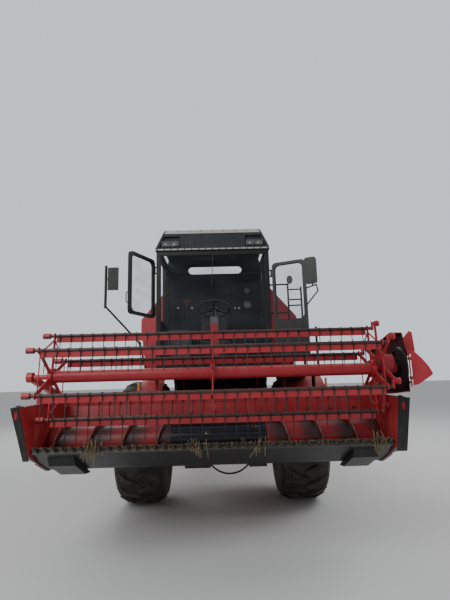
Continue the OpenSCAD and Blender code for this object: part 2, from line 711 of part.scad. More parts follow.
module door_left() color(black) door_place() {
    leaf(door_w, door_z0, door_z1, door_sill, [door_z0 + 90, door_z1 - 150]);
    // mirror on its bracket
    rail([[8, door_w - 12, 2600], [48, door_w + 131, 2622], [48, door_w + 147, 2547], [8, door_w - 12,
        2395]], 8);
    rod([48, door_w + 90, 2612], [48, door_w + 90, 2645], 9);
    side(38, 62, rounded(door_w + 4, door_w + 148, 2637, 2955, 34));
}

module window_right() color(black) window_place() leaf(wing_w, wing_z0, wing_z1, door_bar,
    [wing_z0 + 60, wing_z1 - 150]);

// platform and small parts

module walkway() color(black) place() {
    box(-860, 1150, deck_y0, -460, deck_z0, floor_z0);
    box(-body_hw, body_hw, -461, feed_y + feed_r + 10, deck_z0, floor_z0);
    box(body_hw - 1, 1150, -461, -200, deck_z0, floor_z0);
    for (s = [-1, 1]) scale([s, 1, 1]) side(500, 530, [[-1180, deck_z0], [-1180, deck_z0 - 40], [-471, 1300],
        [-471, deck_z0]]);
    // hand rail from the cab's side to the deck
    rod([950, -400, 2840], [946, -401, floor_z0 - 5], 13);
    rod([cab_r - 10, -391, 2828], [960, -402, 2834], 12);
    rod([cab_r - 10, -392, 2434], [950, -404, 2442], 11);
    for (z = [2540, 2620, 2760]) rod([944, -404, z - 3], [1134, -395, z + 3], 10);
    rod([1132, -402, floor_z0 - 5], [1128, -398, 2800], 13);
    rod([1120, -1200, floor_z0 - 5], [1120, -1200, 2150], 13);
    // small round mirror on the rail
    rod([936, -400, 2810], [975, -430, 2884], 7);
    translate([975, -418, 2890]) rotate([90, 0, 0]) scale([0.7, 1, 1]) cylinder(h = 22, r = 58);
    // ladder
    for (x = [740, 1120]) side(x - 15, x + 15, [[-960, 560], [-900, 560], [-860, deck_z0 + 5],
        [-920, deck_z0 + 5]]);
    for (i = [0:3]) box(740, 1120, -975, -885, 590 + 250 * i, 615 + 250 * i);
}

// curved guards over the front of the front tyres
module fenders() color(red) place() for (f = [[-1, 745, 1040], [1, 745, 1345]]) scale([f[0], 1, 1]) {
    side(f[1], f[2], concat([for (a = [18.2:4.8:61.5]) [-(front_r + 51) * sin(a),
        front_z + (front_r + 51) * cos(a)]],
        [for (a = [61.4:-4.8:18.1]) [-(front_r + 44) * sin(a), front_z + (front_r + 44) * cos(a)]]));
    // stay to the deck
    box(f[1] + 40, f[1] + 80, -640, -600, front_z + 560, deck_z0 - gap);
}

module mirror_right() color(black) place() {
    box(-850, -790, -1290, -1240, floor_z0 + gap, floor_z0 + 12);
    rod([-820, -1265, floor_z0 + 6], [-900, -1300, 2000], 12);
    translate([-900, -1300, 2000]) sphere(r = 18);
    rod([-900, -1300, 2000], [-1250, -1470, 2400], 11);
    translate([-1250, -1470, 2380]) cylinder(h = 480, r = 15);
    box(-1225, -1110, -1492, -1464, 2580, 2835);
    box(-1252, -1200, -1484, -1476, 2690, 2710);
}

module lamps() color(cream) place() {
    // work lamps in the roof corners
    for (s = [-1, 1]) for (x = [[425, 515], [533, 623]]) translate([cab_x, 0, 0]) scale([s, 1, 1])
        side(x[0], x[1], [[lamp_y(22) - 24, lamp_z + 22], [lamp_y(22) - gap, lamp_z + 22],
            [lamp_y(88) - gap, lamp_z + 88], [lamp_y(88) - 24, lamp_z + 88]]);
    // side reflectors and rear lamps
    for (s = [-1, 1]) {
        box(s > 0 ? 1345 + gap : -1064, s > 0 ? 1369 : -1040 - gap, -532, -500, 1436, 1560);
        box(s * 520 - 45, s * 520 + 45, hood_y1 + gap, hood_y1 + 30, 1500, 1580);
    }
}

module unload_tube() color(red) place() {
    translate([spout_x, spout_y, 2090]) cylinder(h = 80, r = 40);
    translate([spout_x, spout_y, 2150 + gap]) cylinder(h = 40, r = spout_r + 30);
    translate([spout_x, spout_y, 2180]) cylinder(h = spout_z - 2180, r = spout_r);
    translate([spout_x, spout_y, spout_z]) sphere(r = spout_r);
    difference() {
        translate([spout_x, spout_y, spout_z]) rotate([-90, 0, 0]) cylinder(h = spout_l, r = spout_r);
        translate([spout_x, spout_y + spout_l - 300, spout_z]) rotate([-90, 0, 0])
            cylinder(h = 301, r = spout_r - 6);
    }
    translate([spout_x, spout_y + spout_l - 40, spout_z]) rotate([-90, 0, 0]) difference() {
        cylinder(h = 40, r = spout_r + 10);
        translate([0, 0, -1]) cylinder(h = 42, r = spout_r - 6);
    }
}

// feeder house and header

feed_low = 70;
feed_mouth = [tab_y(868 + gap, feed_low), tab_z(868 + gap, feed_low)];
feed_lip = [tab_y(868 + gap, 430), tab_z(868 + gap, 430)];
feed_heel = [feed_y, feed_z - feed_r];
feed_crown = [feed_y - feed_r * 0.45, feed_z + feed_r * 0.89];
feed_t = 14;

module feeder_house() color(red) place() difference() {
    union() {
        side(-feed_hw, feed_hw, [feed_heel, feed_mouth, feed_lip, feed_crown, [feed_y, feed_z]]);
        // edge angles of the mouth
        for (s = [-1, 1]) side(s * (feed_hw + 11) - 12, s * (feed_hw + 11) + 12, [feed_mouth,
            between(feed_mouth, feed_heel, 0.04), between(feed_lip, feed_crown, 0.04), feed_lip]);
        across(-feed_hw, feed_hw, feed_y, feed_z, feed_r);
        across(-body_hw - 20, body_hw + 20, feed_y, feed_z, feed_pin);
        // lugs for the lift cylinders
        for (s = [-1, 1]) for (t = [-31, 31]) side(s * lift_x + t - 6, s * lift_x + t + 6,
            [[lift_py - 150, lift_pz + 110], [lift_py - 30, lift_pz - 35], [lift_py + 30, lift_pz - 35],
            [lift_py + 110, lift_pz + 200]]);
    }
    // hollow mouth, open towards the auger
    side(-feed_hw + feed_t, feed_hw - feed_t, [between(feed_mouth, feed_heel, -0.02) + [0, feed_t],
        between(feed_mouth, feed_heel, 0.4) + [0, feed_t], between(feed_lip, feed_crown, 0.4) - [0, feed_t],
        between(feed_lip, feed_crown, -0.02) - [0, feed_t]]);
    across(-400, 400, lift_py, lift_pz, 14 + lift_slack);
}

// floor of the table from the knife to the top of the back wall, and its underside
pan = [[24, -10], [300, -16], [440, -16], [520, -24], [600, -22], [690, 12], [770, 70], [815, 130], [826,
    190],
    [826, back_z]];
under = [[868, back_z - 30], [868, feed_low], [760, 40], [690, 0], [600, -36], [520, -38], [300, -32],
    [24, -24]];
// front edge of the end walls: low and high end, and the line where the walls become flat
wall_low = [-30, -60];
wall_high = [-200, 300];
wall_y = 330;
wall_top = 700;
function wall_rise(y) = wall_high[1] + (y - wall_high[0]) * (wall_top - wall_high[1]) / (690 - wall_high[0]);
// one row a side: side, inner and outer edge low, inner and outer edge high
walls = [[-1, 1530, 1577, 1626, 1696], [1, 1530, 1615, 1574, 1670]];

module header_trough() color(red) table() {
    // floor and back wall as one bent sheet
    difference() {
        side(-wall_x - 1, wall_x + 1, concat(pan, [[840, back_z]], under));
        box(-head_x - 400, -head_x + 400, 700, 900, feed_low + 6, 400);
    }
    for (w = walls) scale([w[0], 1, 1]) {
        difference() {
            union() {
                side(wall_x, wall_x + wall_t, [[wall_y, wall_rise(wall_y)], [690, wall_top], [868, wall_top],
                    [868, 60], [760, 30], [690, -10], [600, -46], [wall_y, -44]]);
                // stiffening flanges outside
                side(wall_x + wall_t - 1, wall_x + 34, [[wall_y, -44], [wall_y, -24], [594, -26], [680, 10],
                    [750, 50], [868, 82], [868, 60], [760, 30], [690, -10], [600, -46]]);
                side(wall_x + wall_t - 1, wall_x + 18, [[wall_y, wall_rise(wall_y) - 12], [690,
                    wall_top - 10],
                    [868, wall_top - 10], [868, wall_top], [690, wall_top + 2], [wall_y,
                        wall_rise(wall_y) + 2]]);
                // carrier of the reel arm and its cylinder
                side(wall_x + wall_t - 1, arm_x - 35, [[780, 600], [arm_y - 45, arm_z - 20],
                    [arm_y - 30, arm_z + 30], [arm_y + 28, arm_z + 30], [868, 600]]);
                across(wall_x, arm_x + 40, 686, 439, 13);
            }
            across(wall_x - 10, wall_x + 100, auger_y, auger_z, auger_pin + gap);
            across(wall_x - 10, arm_x + 60, arm_y, arm_z, 26 + gap);
        }
        // facets that spread from the flat wall to the wide front edge
        hull() {
            box(wall_x, wall_x + wall_t, wall_y, wall_y + 2, -44, wall_rise(wall_y));
            side(w[1], w[2], [wall_low, wall_low + [1, 0], wall_low + [1, 1]]);
            side(w[3], w[4], [wall_high, wall_high + [1, 0.4], wall_high + [0.6, -1]]);
        }
    }
}

guards = floor(2 * knife_hl / guard_pitch);

module cutter_bar() color(black) table() {
    box(-knife_hl, knife_hl, -6, 24 - gap, -34, -4);
    box(-knife_hl, knife_hl, -24, 10, -4, 6);
    // guards: a body under the sections and a tapered point
    for (i = [0:guards - 1]) translate([(i - (guards - 1) / 2) * guard_pitch, 0, 0]) {
        side(-9, 9, [[20, -18], [-52, -18], [-52, 6], [-20, 9], [-20, 5], [10, 5]]);
        translate([0, -51, -6]) rotate([90, 0, 0]) linear_extrude(56, scale = 0.25)
            square([18, 24], center = true);
    }
    // serrated sections
    translate([0, 0, 0.5]) linear_extrude(4) polygon(concat([[knife_hl - 5, -6], [-knife_hl + 5, -6]],
        [for (i = [0:2 * guards]) [(i - guards) * guard_pitch / 2, i % 2 == 0 ? -20 : -76]]));
}

edge_l = norm(wall_high - wall_low);
edge_a = atan2(wall_high[1] - wall_low[1], wall_high[0] - wall_low[0]);
plate_over = 35;

// plate across the front edge of an end wall, with a slot near its top and a bolted strap over its end
module divider_plate(w) {
    translate([0, wall_low[0] - gap, wall_low[1]]) rotate([edge_a, 0, 0]) difference() {
        linear_extrude(10) polygon([[w[1], -plate_over], [w[2], -plate_over], [w[4], edge_l + 2],
            [w[3], edge_l + 2]]);
        for (t = [-20, 20]) translate([(w[3] + w[4]) / 2 - 8, edge_l - 62 + t, -1]) cylinder(h = 12, r = 17);
        translate([(w[3] + w[4]) / 2 - 25, edge_l - 82, -1]) cube([34, 40, 12]);
    }
    translate([(w[3] + w[4]) / 2 - 8, 0, 0]) {
        side(-24, 24, [[-211, 296], [-201, 300.3], [-120, wall_rise(-120) + gap], [-120,
            wall_rise(-120) + 8],
            [-214, 302]]);
        for (y = [-190, -165, -140]) translate([0, y, wall_rise(y) + 4]) cylinder(h = 14, r = 7, $fn = 6);
    }
}

module dividers() color(black) table() for (w = walls) scale([w[0], 1, 1]) {
    divider_plate(w);
    // skid shoe under the end of the table
    side(1220, 1450, [[150, -28.2], [230, -84], [560, -92], [720, -44], [600, -36.5], [520, -38.3],
        [300, -32.3]]);
}

// hooks that hang the table on the feeder, and the hose between them
module header_hooks() color(black) place() {
    for (x = [[-385, -120], [275, 457]]) side(x[0], x[1], [[feed_mouth[0] + 2, 690], [feed_mouth[0] + 70,
        680],
        [feed_mouth[0] + 110, 720], between(feed_mouth, feed_heel, 0.09) - [0, gap],
        between(feed_mouth, feed_heel, 0.002) - [0, gap]]);
    translate([77.5, feed_mouth[0] + 42, 871]) rotate([90, 0, 0]) rotate([0, 0, -146])
        rotate_extrude(angle = 112) translate([249, 0]) circle(r = 9);
}

// closed drive case on the left end of the header
module header_drive() color(black) table() {
    side(wall_x + wall_t, wall_x + 95, [[350, 90], [350, 250], [430, 320], [800, 380], [840, 250], [700,
        100],
        [500, 40]]);
    across(wall_x + wall_t, wall_x + 95, 412, 84, 62);
    across(wall_x + 94, wall_x + 110, auger_y + 10, auger_z, 90);
    across(wall_x + 94, wall_x + 104, 412, 84, 50);
}

module auger() color(black) table() {
    across(-wall_x + 14, wall_x - 14, auger_y, auger_z, drum_r);
    across(-wall_x - 30, wall_x + wall_t - 1, auger_y, auger_z, auger_pin);
    for (f = [[-1, -wall_x + 20, 3.55], [1, wall_x - 20, 3.3]]) translate([f[1], auger_y, auger_z])
        rotate([0, -f[0] * 90, 0])
            linear_extrude(height = f[2] * flight_pitch, twist = -f[0] * f[2] * 360,
                slices = ceil(f[2] * 20), $fn = 8)
                polygon(concat([for (a = [-4, 4]) [(drum_r - 4) * cos(a), (drum_r - 4) * sin(a)]],
                    [for (a = [5, -5]) [auger_r * cos(a), auger_r * sin(a)]]));
    // retractable fingers
    for (i = [0:6]) rotate([0, 0, 0]) translate([-290 + i * 112, auger_y, auger_z])
        rotate([i * 130, 0, 0]) cylinder(h = auger_r - 8, r = 8, $fn = 8);
}

// reel

module arm_side(x0, x1, w) place() translate([head_x, 0, 0]) side(x0, x1, [
    [pivot_y + w * sin(arm_a), pivot_z + w * cos(arm_a)], [pivot_y - w * sin(arm_a),
        pivot_z - w * cos(arm_a)],
    [reel_y - w * sin(arm_a), reel_z - w * cos(arm_a)], [reel_y + w * sin(arm_a), reel_z + w * cos(arm_a)]]);

module reel_arms() color(red) difference() {
    union() {
        for (s = [-1, 1]) scale([1, 1, 1]) arm_side(s * arm_x - 20, s * arm_x + 20, 32);
        place() translate([head_x, 0, 0]) {
            across(-arm_x - 40, arm_x + 40, pivot_y, pivot_z, 26);
            for (s = [-1, 1]) across(s * arm_x - 26, s * arm_x + 26, reel_y, reel_z, 46);
            // lugs of the reel cylinders
            for (s = [-1, 1]) across(s * arm_x - 34, s * arm_x + 34, rlift_py, rlift_pz, 13);
            // eccentric that steers the ring
            across(1512, arm_x - 10, reel_y, reel_z + ring_e, 85);
            // drive shield behind the pulley
            side(arm_x + 95, arm_x + 101, [[-1400, 1440], [-1400, 1840], [-2090, 1975], [-2240, 1958],
                [-2312, 1780], [-2300, 1425], [-1900, 1395]]);
            side(arm_x + 50, arm_x + 100, [[-1400, 1840], [-2090, 1975], [-2240, 1958], [-2240, 1952],
                [-2088, 1969], [-1400, 1834]]);
            side(arm_x + 50, arm_x + 100, [[-1400, 1440], [-1900, 1395], [-2300, 1425], [-2300, 1431],
                [-1900, 1401], [-1400, 1446]]);
            for (y = [-1450, -1880]) across(arm_x + 10, arm_x + 96, y,
                pivot_z + (pivot_y - y) * tan(arm_a), 12);
            // wing of the shield, square to it
            front(-2102, -2098, [[1714, 1818], [1867, 1983], [1896, 1972], [1909, 1792], [1741, 1700]]);
            // hinge pin of the front guard
            translate([arm_x + 112, -2318, 1470]) cylinder(h = 320, r = 6);
            for (z = [1500, 1740]) box(arm_x + 96, arm_x + 112, -2320, -2300, z, z + 20);
        }
    }
    place() translate([head_x, 0, 0]) {
        across(-arm_x - 60, arm_x + 60, reel_y, reel_z, shaft_r + gap);
    }
}

module spider(x) {
    for (i = [0:5]) {
        a = reel_a + 60 * i;
        translate([x - 4, reel_y, reel_z]) rotate([a, 0, 0]) difference() {
            union() {
                translate([0, 0, -20]) cube([8, reel_r, 40]);
                translate([0, reel_r, 0]) rotate([0, 90, 0]) cylinder(h = 8, r = 28);
            }
            translate([-1, reel_r, 0]) rotate([0, 90, 0]) cylinder(h = 10, r = bat_pipe + gap);
        }
    }
    across(x - 20, x + 20, reel_y, reel_z, tube_r + 24);
}

// flat bars between neighbouring arms of an end spider
module spider_rim(x) for (i = [0:5]) translate([x - 3, 0, 0]) side(0, 6, [for (p = [[i, 0.9, 8], [i, 0.9,
    -8],
    [i + 1, 0.9, -8], [i + 1, 0.9, 8]]) [reel_y + (reel_r * p[1] + p[2]) * cos(reel_a + 60 * p[0]),
    reel_z + (reel_r * p[1] + p[2]) * sin(reel_a + 60 * p[0])]]);

module reel_core() color(red) place() translate([head_x, 0, 0]) {
    across(-1452, 1452, reel_y, reel_z, tube_r);
    across(-arm_x - 24, arm_x + 74, reel_y, reel_z, shaft_r);
    for (x = [-1450, 0, 1450]) spider(x);
    for (x = [-1450, 1450]) spider_rim(x);
}

module reel_pulley() color(black) place() translate([head_x, 0, 0]) difference() {
    union() {
        translate([arm_x + 34, reel_y, reel_z]) rotate([0, 90, 0]) rotate_extrude() polygon([[150, 0],
            [190, 0],
            [172, 16], [190, 32], [150, 32]]);
        across(arm_x + 44, arm_x + 52, reel_y, reel_z, 155);
        across(arm_x + 28, arm_x + 66, reel_y, reel_z, 40);
    }
    across(arm_x, arm_x + 100, reel_y, reel_z, shaft_r + gap);
}

module reel_ring() color(red) place() translate([head_x, 0, ring_e]) difference() {
    union() {
        across(1518, 1528, reel_y, reel_z, 120);
        for (i = [0:5]) translate([1518, reel_y, reel_z]) rotate([reel_a + 60 * i, 0, 0]) {
            translate([0, 90, -18]) cube([10, reel_r - 90, 36]);
            translate([0, reel_r, 0]) rotate([0, 90, 0]) cylinder(h = 10, r = 24);
        }
    }
    across(1500, 1550, reel_y, reel_z, 85 + gap);
    for (i = [0:5]) across(1500, 1550, bat_y(i), bat_z(i), 11 + gap);
}

tines = floor(2 * (bat_hl - 60) / tine_pitch);

module bat(i) color(red) place() translate([head_x, bat_y(i), bat_z(i)]) {
    across(-wall_x + 45, 1502, 0, 0, bat_pipe);
    across(-wall_x + 30, -1490, 0, 0, 26);
    for (s = [-1, 1]) scale([s, 1, 1]) box(14, 1434, -3, 3, -bat_pipe - bat_h + 5, -bat_pipe + 3);
    // crank and pin in the steering ring
    side(1492, 1504, [[-20, -16], [20, -16], [14, ring_e + 16], [-14, ring_e + 16]]);
    across(1500, 1558, 0, ring_e, 11);
    across(1534, 1558, 0, ring_e, 27);
    // tines
    for (k = [0:tines]) let (x = (k - tines / 2) * tine_pitch) if (abs(x) > 20)
        translate([x, -6, -tine_l]) cylinder(h = tine_l, r = tine_r, $fn = 5);
}

module reel_guard() color(red) place() translate([head_x + arm_x + 112, -2318, 0]) rotate([0, 0, 74])
    difference() {
        union() {
            side(-2, 2, [[-14, 1480], [-14, 1790], [-40, 1785], [-100, 1720], [-150, 1650], [-180, 1590],
                [-178, 1570], [-60, 1490]]);
            for (z = [1530, 1700]) translate([0, 0, z]) cylinder(h = 30, r = 12);
            for (z = [1530, 1700]) box(-2, 2, -20, 0, z, z + 30);
        }
        translate([0, 0, 1400]) cylinder(h = 500, r = 6 + gap);
    }

// cylinders

module lift_barrels() color(black) place() translate([0, lift_by, lift_bz]) rotate([-lift_a, 0, 0]) {
    for (s = [-1, 1]) translate([s * lift_x, 0, 0]) {
        across(-15, 15, 0, 0, 30);
        difference() {
            union() {
                translate([0, -75, 0]) rotate([90, 0, 0]) cylinder(h = lift_bore_l - 75, r = 38);
                box(-15, 15, -80, 0, -22, 22);
            }
            translate([0, -100, 0]) rotate([90, 0, 0]) cylinder(h = lift_bore_l, r = 22 + gap);
        }
    }
    across(-lift_x - 40, lift_x + 40, 0, 0, lift_pin);
}

module lift_rods() color(steel) place() translate([0, lift_by, lift_bz]) rotate([-lift_a, 0, 0]) {
    for (s = [-1, 1]) translate([s * lift_x, -lift_l, 0]) {
        rotate([-90, 0, 0]) translate([0, 0, 20]) cylinder(h = lift_rod_l - 20, r = 22);
        across(-17, 17, 0, 0, 28);
        across(-40, 40, 0, 0, 14);
    }
}

module reel_barrels() color(black) place() translate([head_x, rlift_by, rlift_bz]) rotate([-rlift_a, 0, 0]) {
    for (s = [-1, 1]) translate([s * arm_x, 0, 0]) difference() {
        union() {
            across(-15, 15, 0, 0, 22);
            translate([0, -14, 0]) rotate([90, 0, 0]) cylinder(h = 216, r = 22);
        }
        across(-20, 20, 0, 0, 13 + gap);
        translate([0, -40, 0]) rotate([90, 0, 0]) cylinder(h = 300, r = 12 + gap);
    }
}

module reel_rods() color(steel) place() translate([head_x, rlift_by, rlift_bz]) rotate([-rlift_a, 0, 0]) {
    for (s = [-1, 1]) translate([s * arm_x, -rlift_l, 0]) difference() {
        union() {
            rotate([-90, 0, 0]) translate([0, 0, 80]) cylinder(h = 194, r = 12);
            for (t = [-1, 1]) across(min(t * 22, t * 32), max(t * 22, t * 32), 0, 0, 22);
            for (t = [-1, 1]) box(min(t * 22, t * 32), max(t * 22, t * 32), 0, 90, -5, 12);
            box(-32, 32, 79, 91, -5, 13);
        }
        across(-60, 60, 0, 0, 13 + rlift_slack);
    }
}

chassis_frame();
front_axle();
rear_axle();
thresher_body();
side_drive();
straw_hood();
grain_tank();
engine_hood();
engine();
cab_shell();
cab_roof();
cab_glass();
cab_seat();
cab_controls();
walkway();
fenders();
mirror_right();
lamps();
unload_tube();
front_tyre(1);  // tyre_front_left
front_tyre(-1);  // tyre_front_right
rear_tyre(1);  // tyre_rear_left
rear_tyre(-1);  // tyre_rear_right
front_rim(1);  // rim_front_left
front_rim(-1);  // rim_front_right
rear_rim(1);  // rim_rear_left
rear_rim(-1);  // rim_rear_right
knuckle(1);  // knuckle_left
knuckle(-1);  // knuckle_right
tie_rod();
door_left();
door_pane();
window_right();
window_pane();
feeder_house();
header_trough();
cutter_bar();
dividers();
header_hooks();
header_drive();
lift_barrels();
lift_rods();
auger();
reel_arms();
reel_core();
reel_pulley();
reel_ring();
reel_guard();
reel_barrels();
reel_rods();
bat(0);  // bat_1
bat(1);  // bat_2
bat(2);  // bat_3
bat(3);  // bat_4
bat(4);  // bat_5
bat(5);  // bat_6
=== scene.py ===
"""A small combine harvester: grain header raised, both cab leaves open, standing on its wheels."""
import math
import random

import bmesh
import bpy
from mathutils import Matrix, Vector


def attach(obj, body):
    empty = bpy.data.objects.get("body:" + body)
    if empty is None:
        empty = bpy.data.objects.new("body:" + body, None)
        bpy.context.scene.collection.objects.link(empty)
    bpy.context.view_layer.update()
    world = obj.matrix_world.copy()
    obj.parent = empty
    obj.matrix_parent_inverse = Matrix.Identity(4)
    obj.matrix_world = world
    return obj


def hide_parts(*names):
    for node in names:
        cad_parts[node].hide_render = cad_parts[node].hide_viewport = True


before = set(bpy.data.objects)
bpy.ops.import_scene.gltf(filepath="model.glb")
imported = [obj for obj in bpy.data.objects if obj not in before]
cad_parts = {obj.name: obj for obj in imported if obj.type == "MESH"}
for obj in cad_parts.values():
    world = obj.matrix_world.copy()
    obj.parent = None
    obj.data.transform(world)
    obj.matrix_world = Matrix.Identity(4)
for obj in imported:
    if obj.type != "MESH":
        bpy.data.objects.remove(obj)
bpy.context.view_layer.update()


# Camera: held at 1.58 m, 6.2 m ahead of the front axle, and tilted up ten degrees.
# Its turn, tilt, roll and focal length come from the cab, knife and wheels in the picture.
box_middle_x, box_middle_y = 83, 887


def machine(x, y, z):
    """A point given in millimetres from the middle of the front axle and from the ground, in metres."""
    return Vector(((x - box_middle_x) / 1000, (y - box_middle_y) / 1000, z / 1000))


eye = machine(0.5, -6168.8, 1580.1)
turn, tilt, roll, focal_px, frame_px, film = 0.0149, 0.1809, 0.0265, 431.06, 600, 36
ahead = Vector((math.sin(turn) * math.cos(tilt), math.cos(turn) * math.cos(tilt), math.sin(tilt)))
level = Vector((math.cos(turn), -math.sin(turn), 0))
above = level.cross(ahead)
right = math.cos(roll) * level - math.sin(roll) * above
up = math.sin(roll) * level + math.cos(roll) * above
camera = bpy.data.objects.new("camera", bpy.data.cameras.new("camera"))
bpy.context.collection.objects.link(camera)
camera.data.sensor_fit = "VERTICAL"
camera.data.sensor_height = film
camera.data.lens = film * focal_px / frame_px
camera.data.clip_end = 200
camera.matrix_world = Matrix.Translation(eye) @ Matrix((right, up, -ahead)).transposed().to_4x4()
bpy.context.scene.camera = camera


# Floor and light: a pale level floor under a soft, even sky, with three large lamps round the machine.
# The floor runs far out, so it meets the pale background without an edge.
class Wire:
    """One output of a shader node. Sums and products of wires add their Math nodes."""

    def __init__(self, look, socket):
        self.look, self.socket = look, socket

    def maths(self, operation, first, second=0.0, clamp=False):
        settings = {"operation": operation, "use_clamp": clamp}
        return self.look.node("ShaderNodeMath", settings, {0: first, 1: second})

    def __add__(self, other):
        return self.maths("ADD", self, other)

    def __sub__(self, other):
        return self.maths("SUBTRACT", self, other)

    def __rsub__(self, other):
        return self.maths("SUBTRACT", other, self)

    def __mul__(self, other):
        return self.maths("MULTIPLY", self, other)

    __radd__, __rmul__ = __add__, __mul__

    def over(self, edge, width):
        """0 well below the edge and 1 well above it, over that width."""
        return self.maths("ADD", (self - edge) * (1 / width), 0.5, clamp=True)

    def within(self, low, high, width=0.002):
        """1 between two edges and 0 outside them."""
        return self.over(low, width) * (1 - self.over(high, width))

    def most(self, other):
        """The larger of the two."""
        return self.maths("MAXIMUM", self, other)


class Look:
    """One finish: a Principled shader, its place on the object, and the nodes that feed it."""

    def __init__(self, name, **fixed):
        self.material = bpy.data.materials.new(name)
        self.material.use_nodes = True
        self.tree = self.material.node_tree
        self.shader = self.tree.nodes["Principled BSDF"]
        for socket, value in fixed.items():
            self.shader.inputs[socket.replace("_", " ")].default_value = value
        self.place = self.node("ShaderNodeTexCoord", out="Object")

    def node(self, kind, settings=None, sockets=None, out=0):
        made = self.tree.nodes.new(kind)
        for key, value in (settings or {}).items():
            setattr(made, key, value)
        for key, value in (sockets or {}).items():
            if isinstance(value, Wire):
                self.tree.links.new(value.socket, made.inputs[key])
            else:
                made.inputs[key].default_value = value
        return Wire(self, made.outputs[out])

    def vectors(self, operation, *parts, out=0):
        return self.node("ShaderNodeVectorMath", {"operation": operation}, dict(enumerate(parts)), out)

    def along(self, axis, place=None):
        return self.node("ShaderNodeSeparateXYZ", sockets={0: place or self.place}, out=axis)

    def noise(self, scale, detail=3.0, rough=0.55, stretch=None):
        where = self.vectors("MULTIPLY", self.place, stretch) if stretch else self.place
        return self.node("ShaderNodeTexNoise", sockets={"Vector": where, "Scale": scale, "Detail": detail,
                                                        "Roughness": rough})

    def waves(self, direction, scale, distortion):
        return self.node("ShaderNodeTexWave", {"bands_direction": direction},
                         {"Vector": self.place, "Scale": scale, "Distortion": distortion})

    def facing_up(self):
        return self.along("Z", self.node("ShaderNodeNewGeometry", out="Normal"))

    def mix(self, factor, first, second):
        colours = {0: factor, 6: self.colour(first), 7: self.colour(second)}
        return self.node("ShaderNodeMix", {"data_type": "RGBA"}, colours, out=2)

    @staticmethod
    def colour(value):
        return value if isinstance(value, Wire) else (*value, 1.0)

    def feed(self, height=None, depth=0.001, **wires):
        for socket, wire in wires.items():
            self.tree.links.new(wire.socket, self.shader.inputs[socket.replace("_", " ")])
        if height is not None:
            bump = self.node("ShaderNodeBump", sockets={"Height": height, "Distance": depth}, out="Normal")
            self.tree.links.new(bump.socket, self.shader.inputs["Normal"])
        return self.material


floor_look = Look("pale_floor", Roughness=0.9, Base_Color=(0.62, 0.62, 0.61, 1))
floor_mesh = bpy.data.meshes.new("floor")
floor_reach = 90
corners = ((-1, -1), (1, -1), (1, 1), (-1, 1))
floor_mesh.from_pydata([(x * floor_reach, y * floor_reach, 0) for x, y in corners], [], [(0, 1, 2, 3)])
floor_mesh.materials.append(floor_look.material)
floor = bpy.data.objects.new("floor", floor_mesh)
bpy.context.collection.objects.link(floor)

world = bpy.data.worlds.new("soft_sky")
bpy.context.scene.world = world
world.use_nodes = True
world_nodes, world_links = world.node_tree.nodes, world.node_tree.links
sky, behind = world_nodes["Background"], world_nodes.new("ShaderNodeBackground")
sky.inputs["Color"].default_value = (0.93, 0.96, 1.0, 1)
sky.inputs["Strength"].default_value = 0.57
behind.inputs["Color"].default_value = (0.80, 0.86, 0.93, 1)
ray, pick = world_nodes.new("ShaderNodeLightPath"), world_nodes.new("ShaderNodeMixShader")
world_links.new(ray.outputs["Is Camera Ray"], pick.inputs[0])
world_links.new(sky.outputs[0], pick.inputs[1])
world_links.new(behind.outputs[0], pick.inputs[2])
world_links.new(pick.outputs[0], world_nodes["World Output"].inputs["Surface"])
lamp_size = 6
for name, place, aim, watts in (("lamp_front", (-5, -9, 7), (0, -1, 1), 520),
                                ("lamp_side", (8, 1, 8), (0, 0, 1.2), 400),
                                ("lamp_back", (-3, 9, 7), (0, 0, 1.5), 360)):
    lamp = bpy.data.objects.new(name, bpy.data.lights.new(name, "AREA"))
    lamp.data.size, lamp.data.energy = lamp_size, watts
    towards = (Vector(aim) - Vector(place)).to_track_quat("-Z", "Y").to_matrix().to_4x4()
    lamp.matrix_world = Matrix.Translation(place) @ towards
    bpy.context.collection.objects.link(lamp)


# Painted sheets and frames: thin gloss enamel on rolled steel, sprayed at the works.
# It has faded in patches, collects harvest dust on what faces up, and is chipped to rust.
red_fresh, red_faded = (0.34, 0.010, 0.018), (0.42, 0.030, 0.040)
black_fresh, black_faded = (0.007, 0.0075, 0.009), (0.015, 0.016, 0.018)
harvest_dust, rust_drip, rust_fleck = (0.26, 0.21, 0.15), (0.075, 0.032, 0.020), (0.10, 0.042, 0.022)


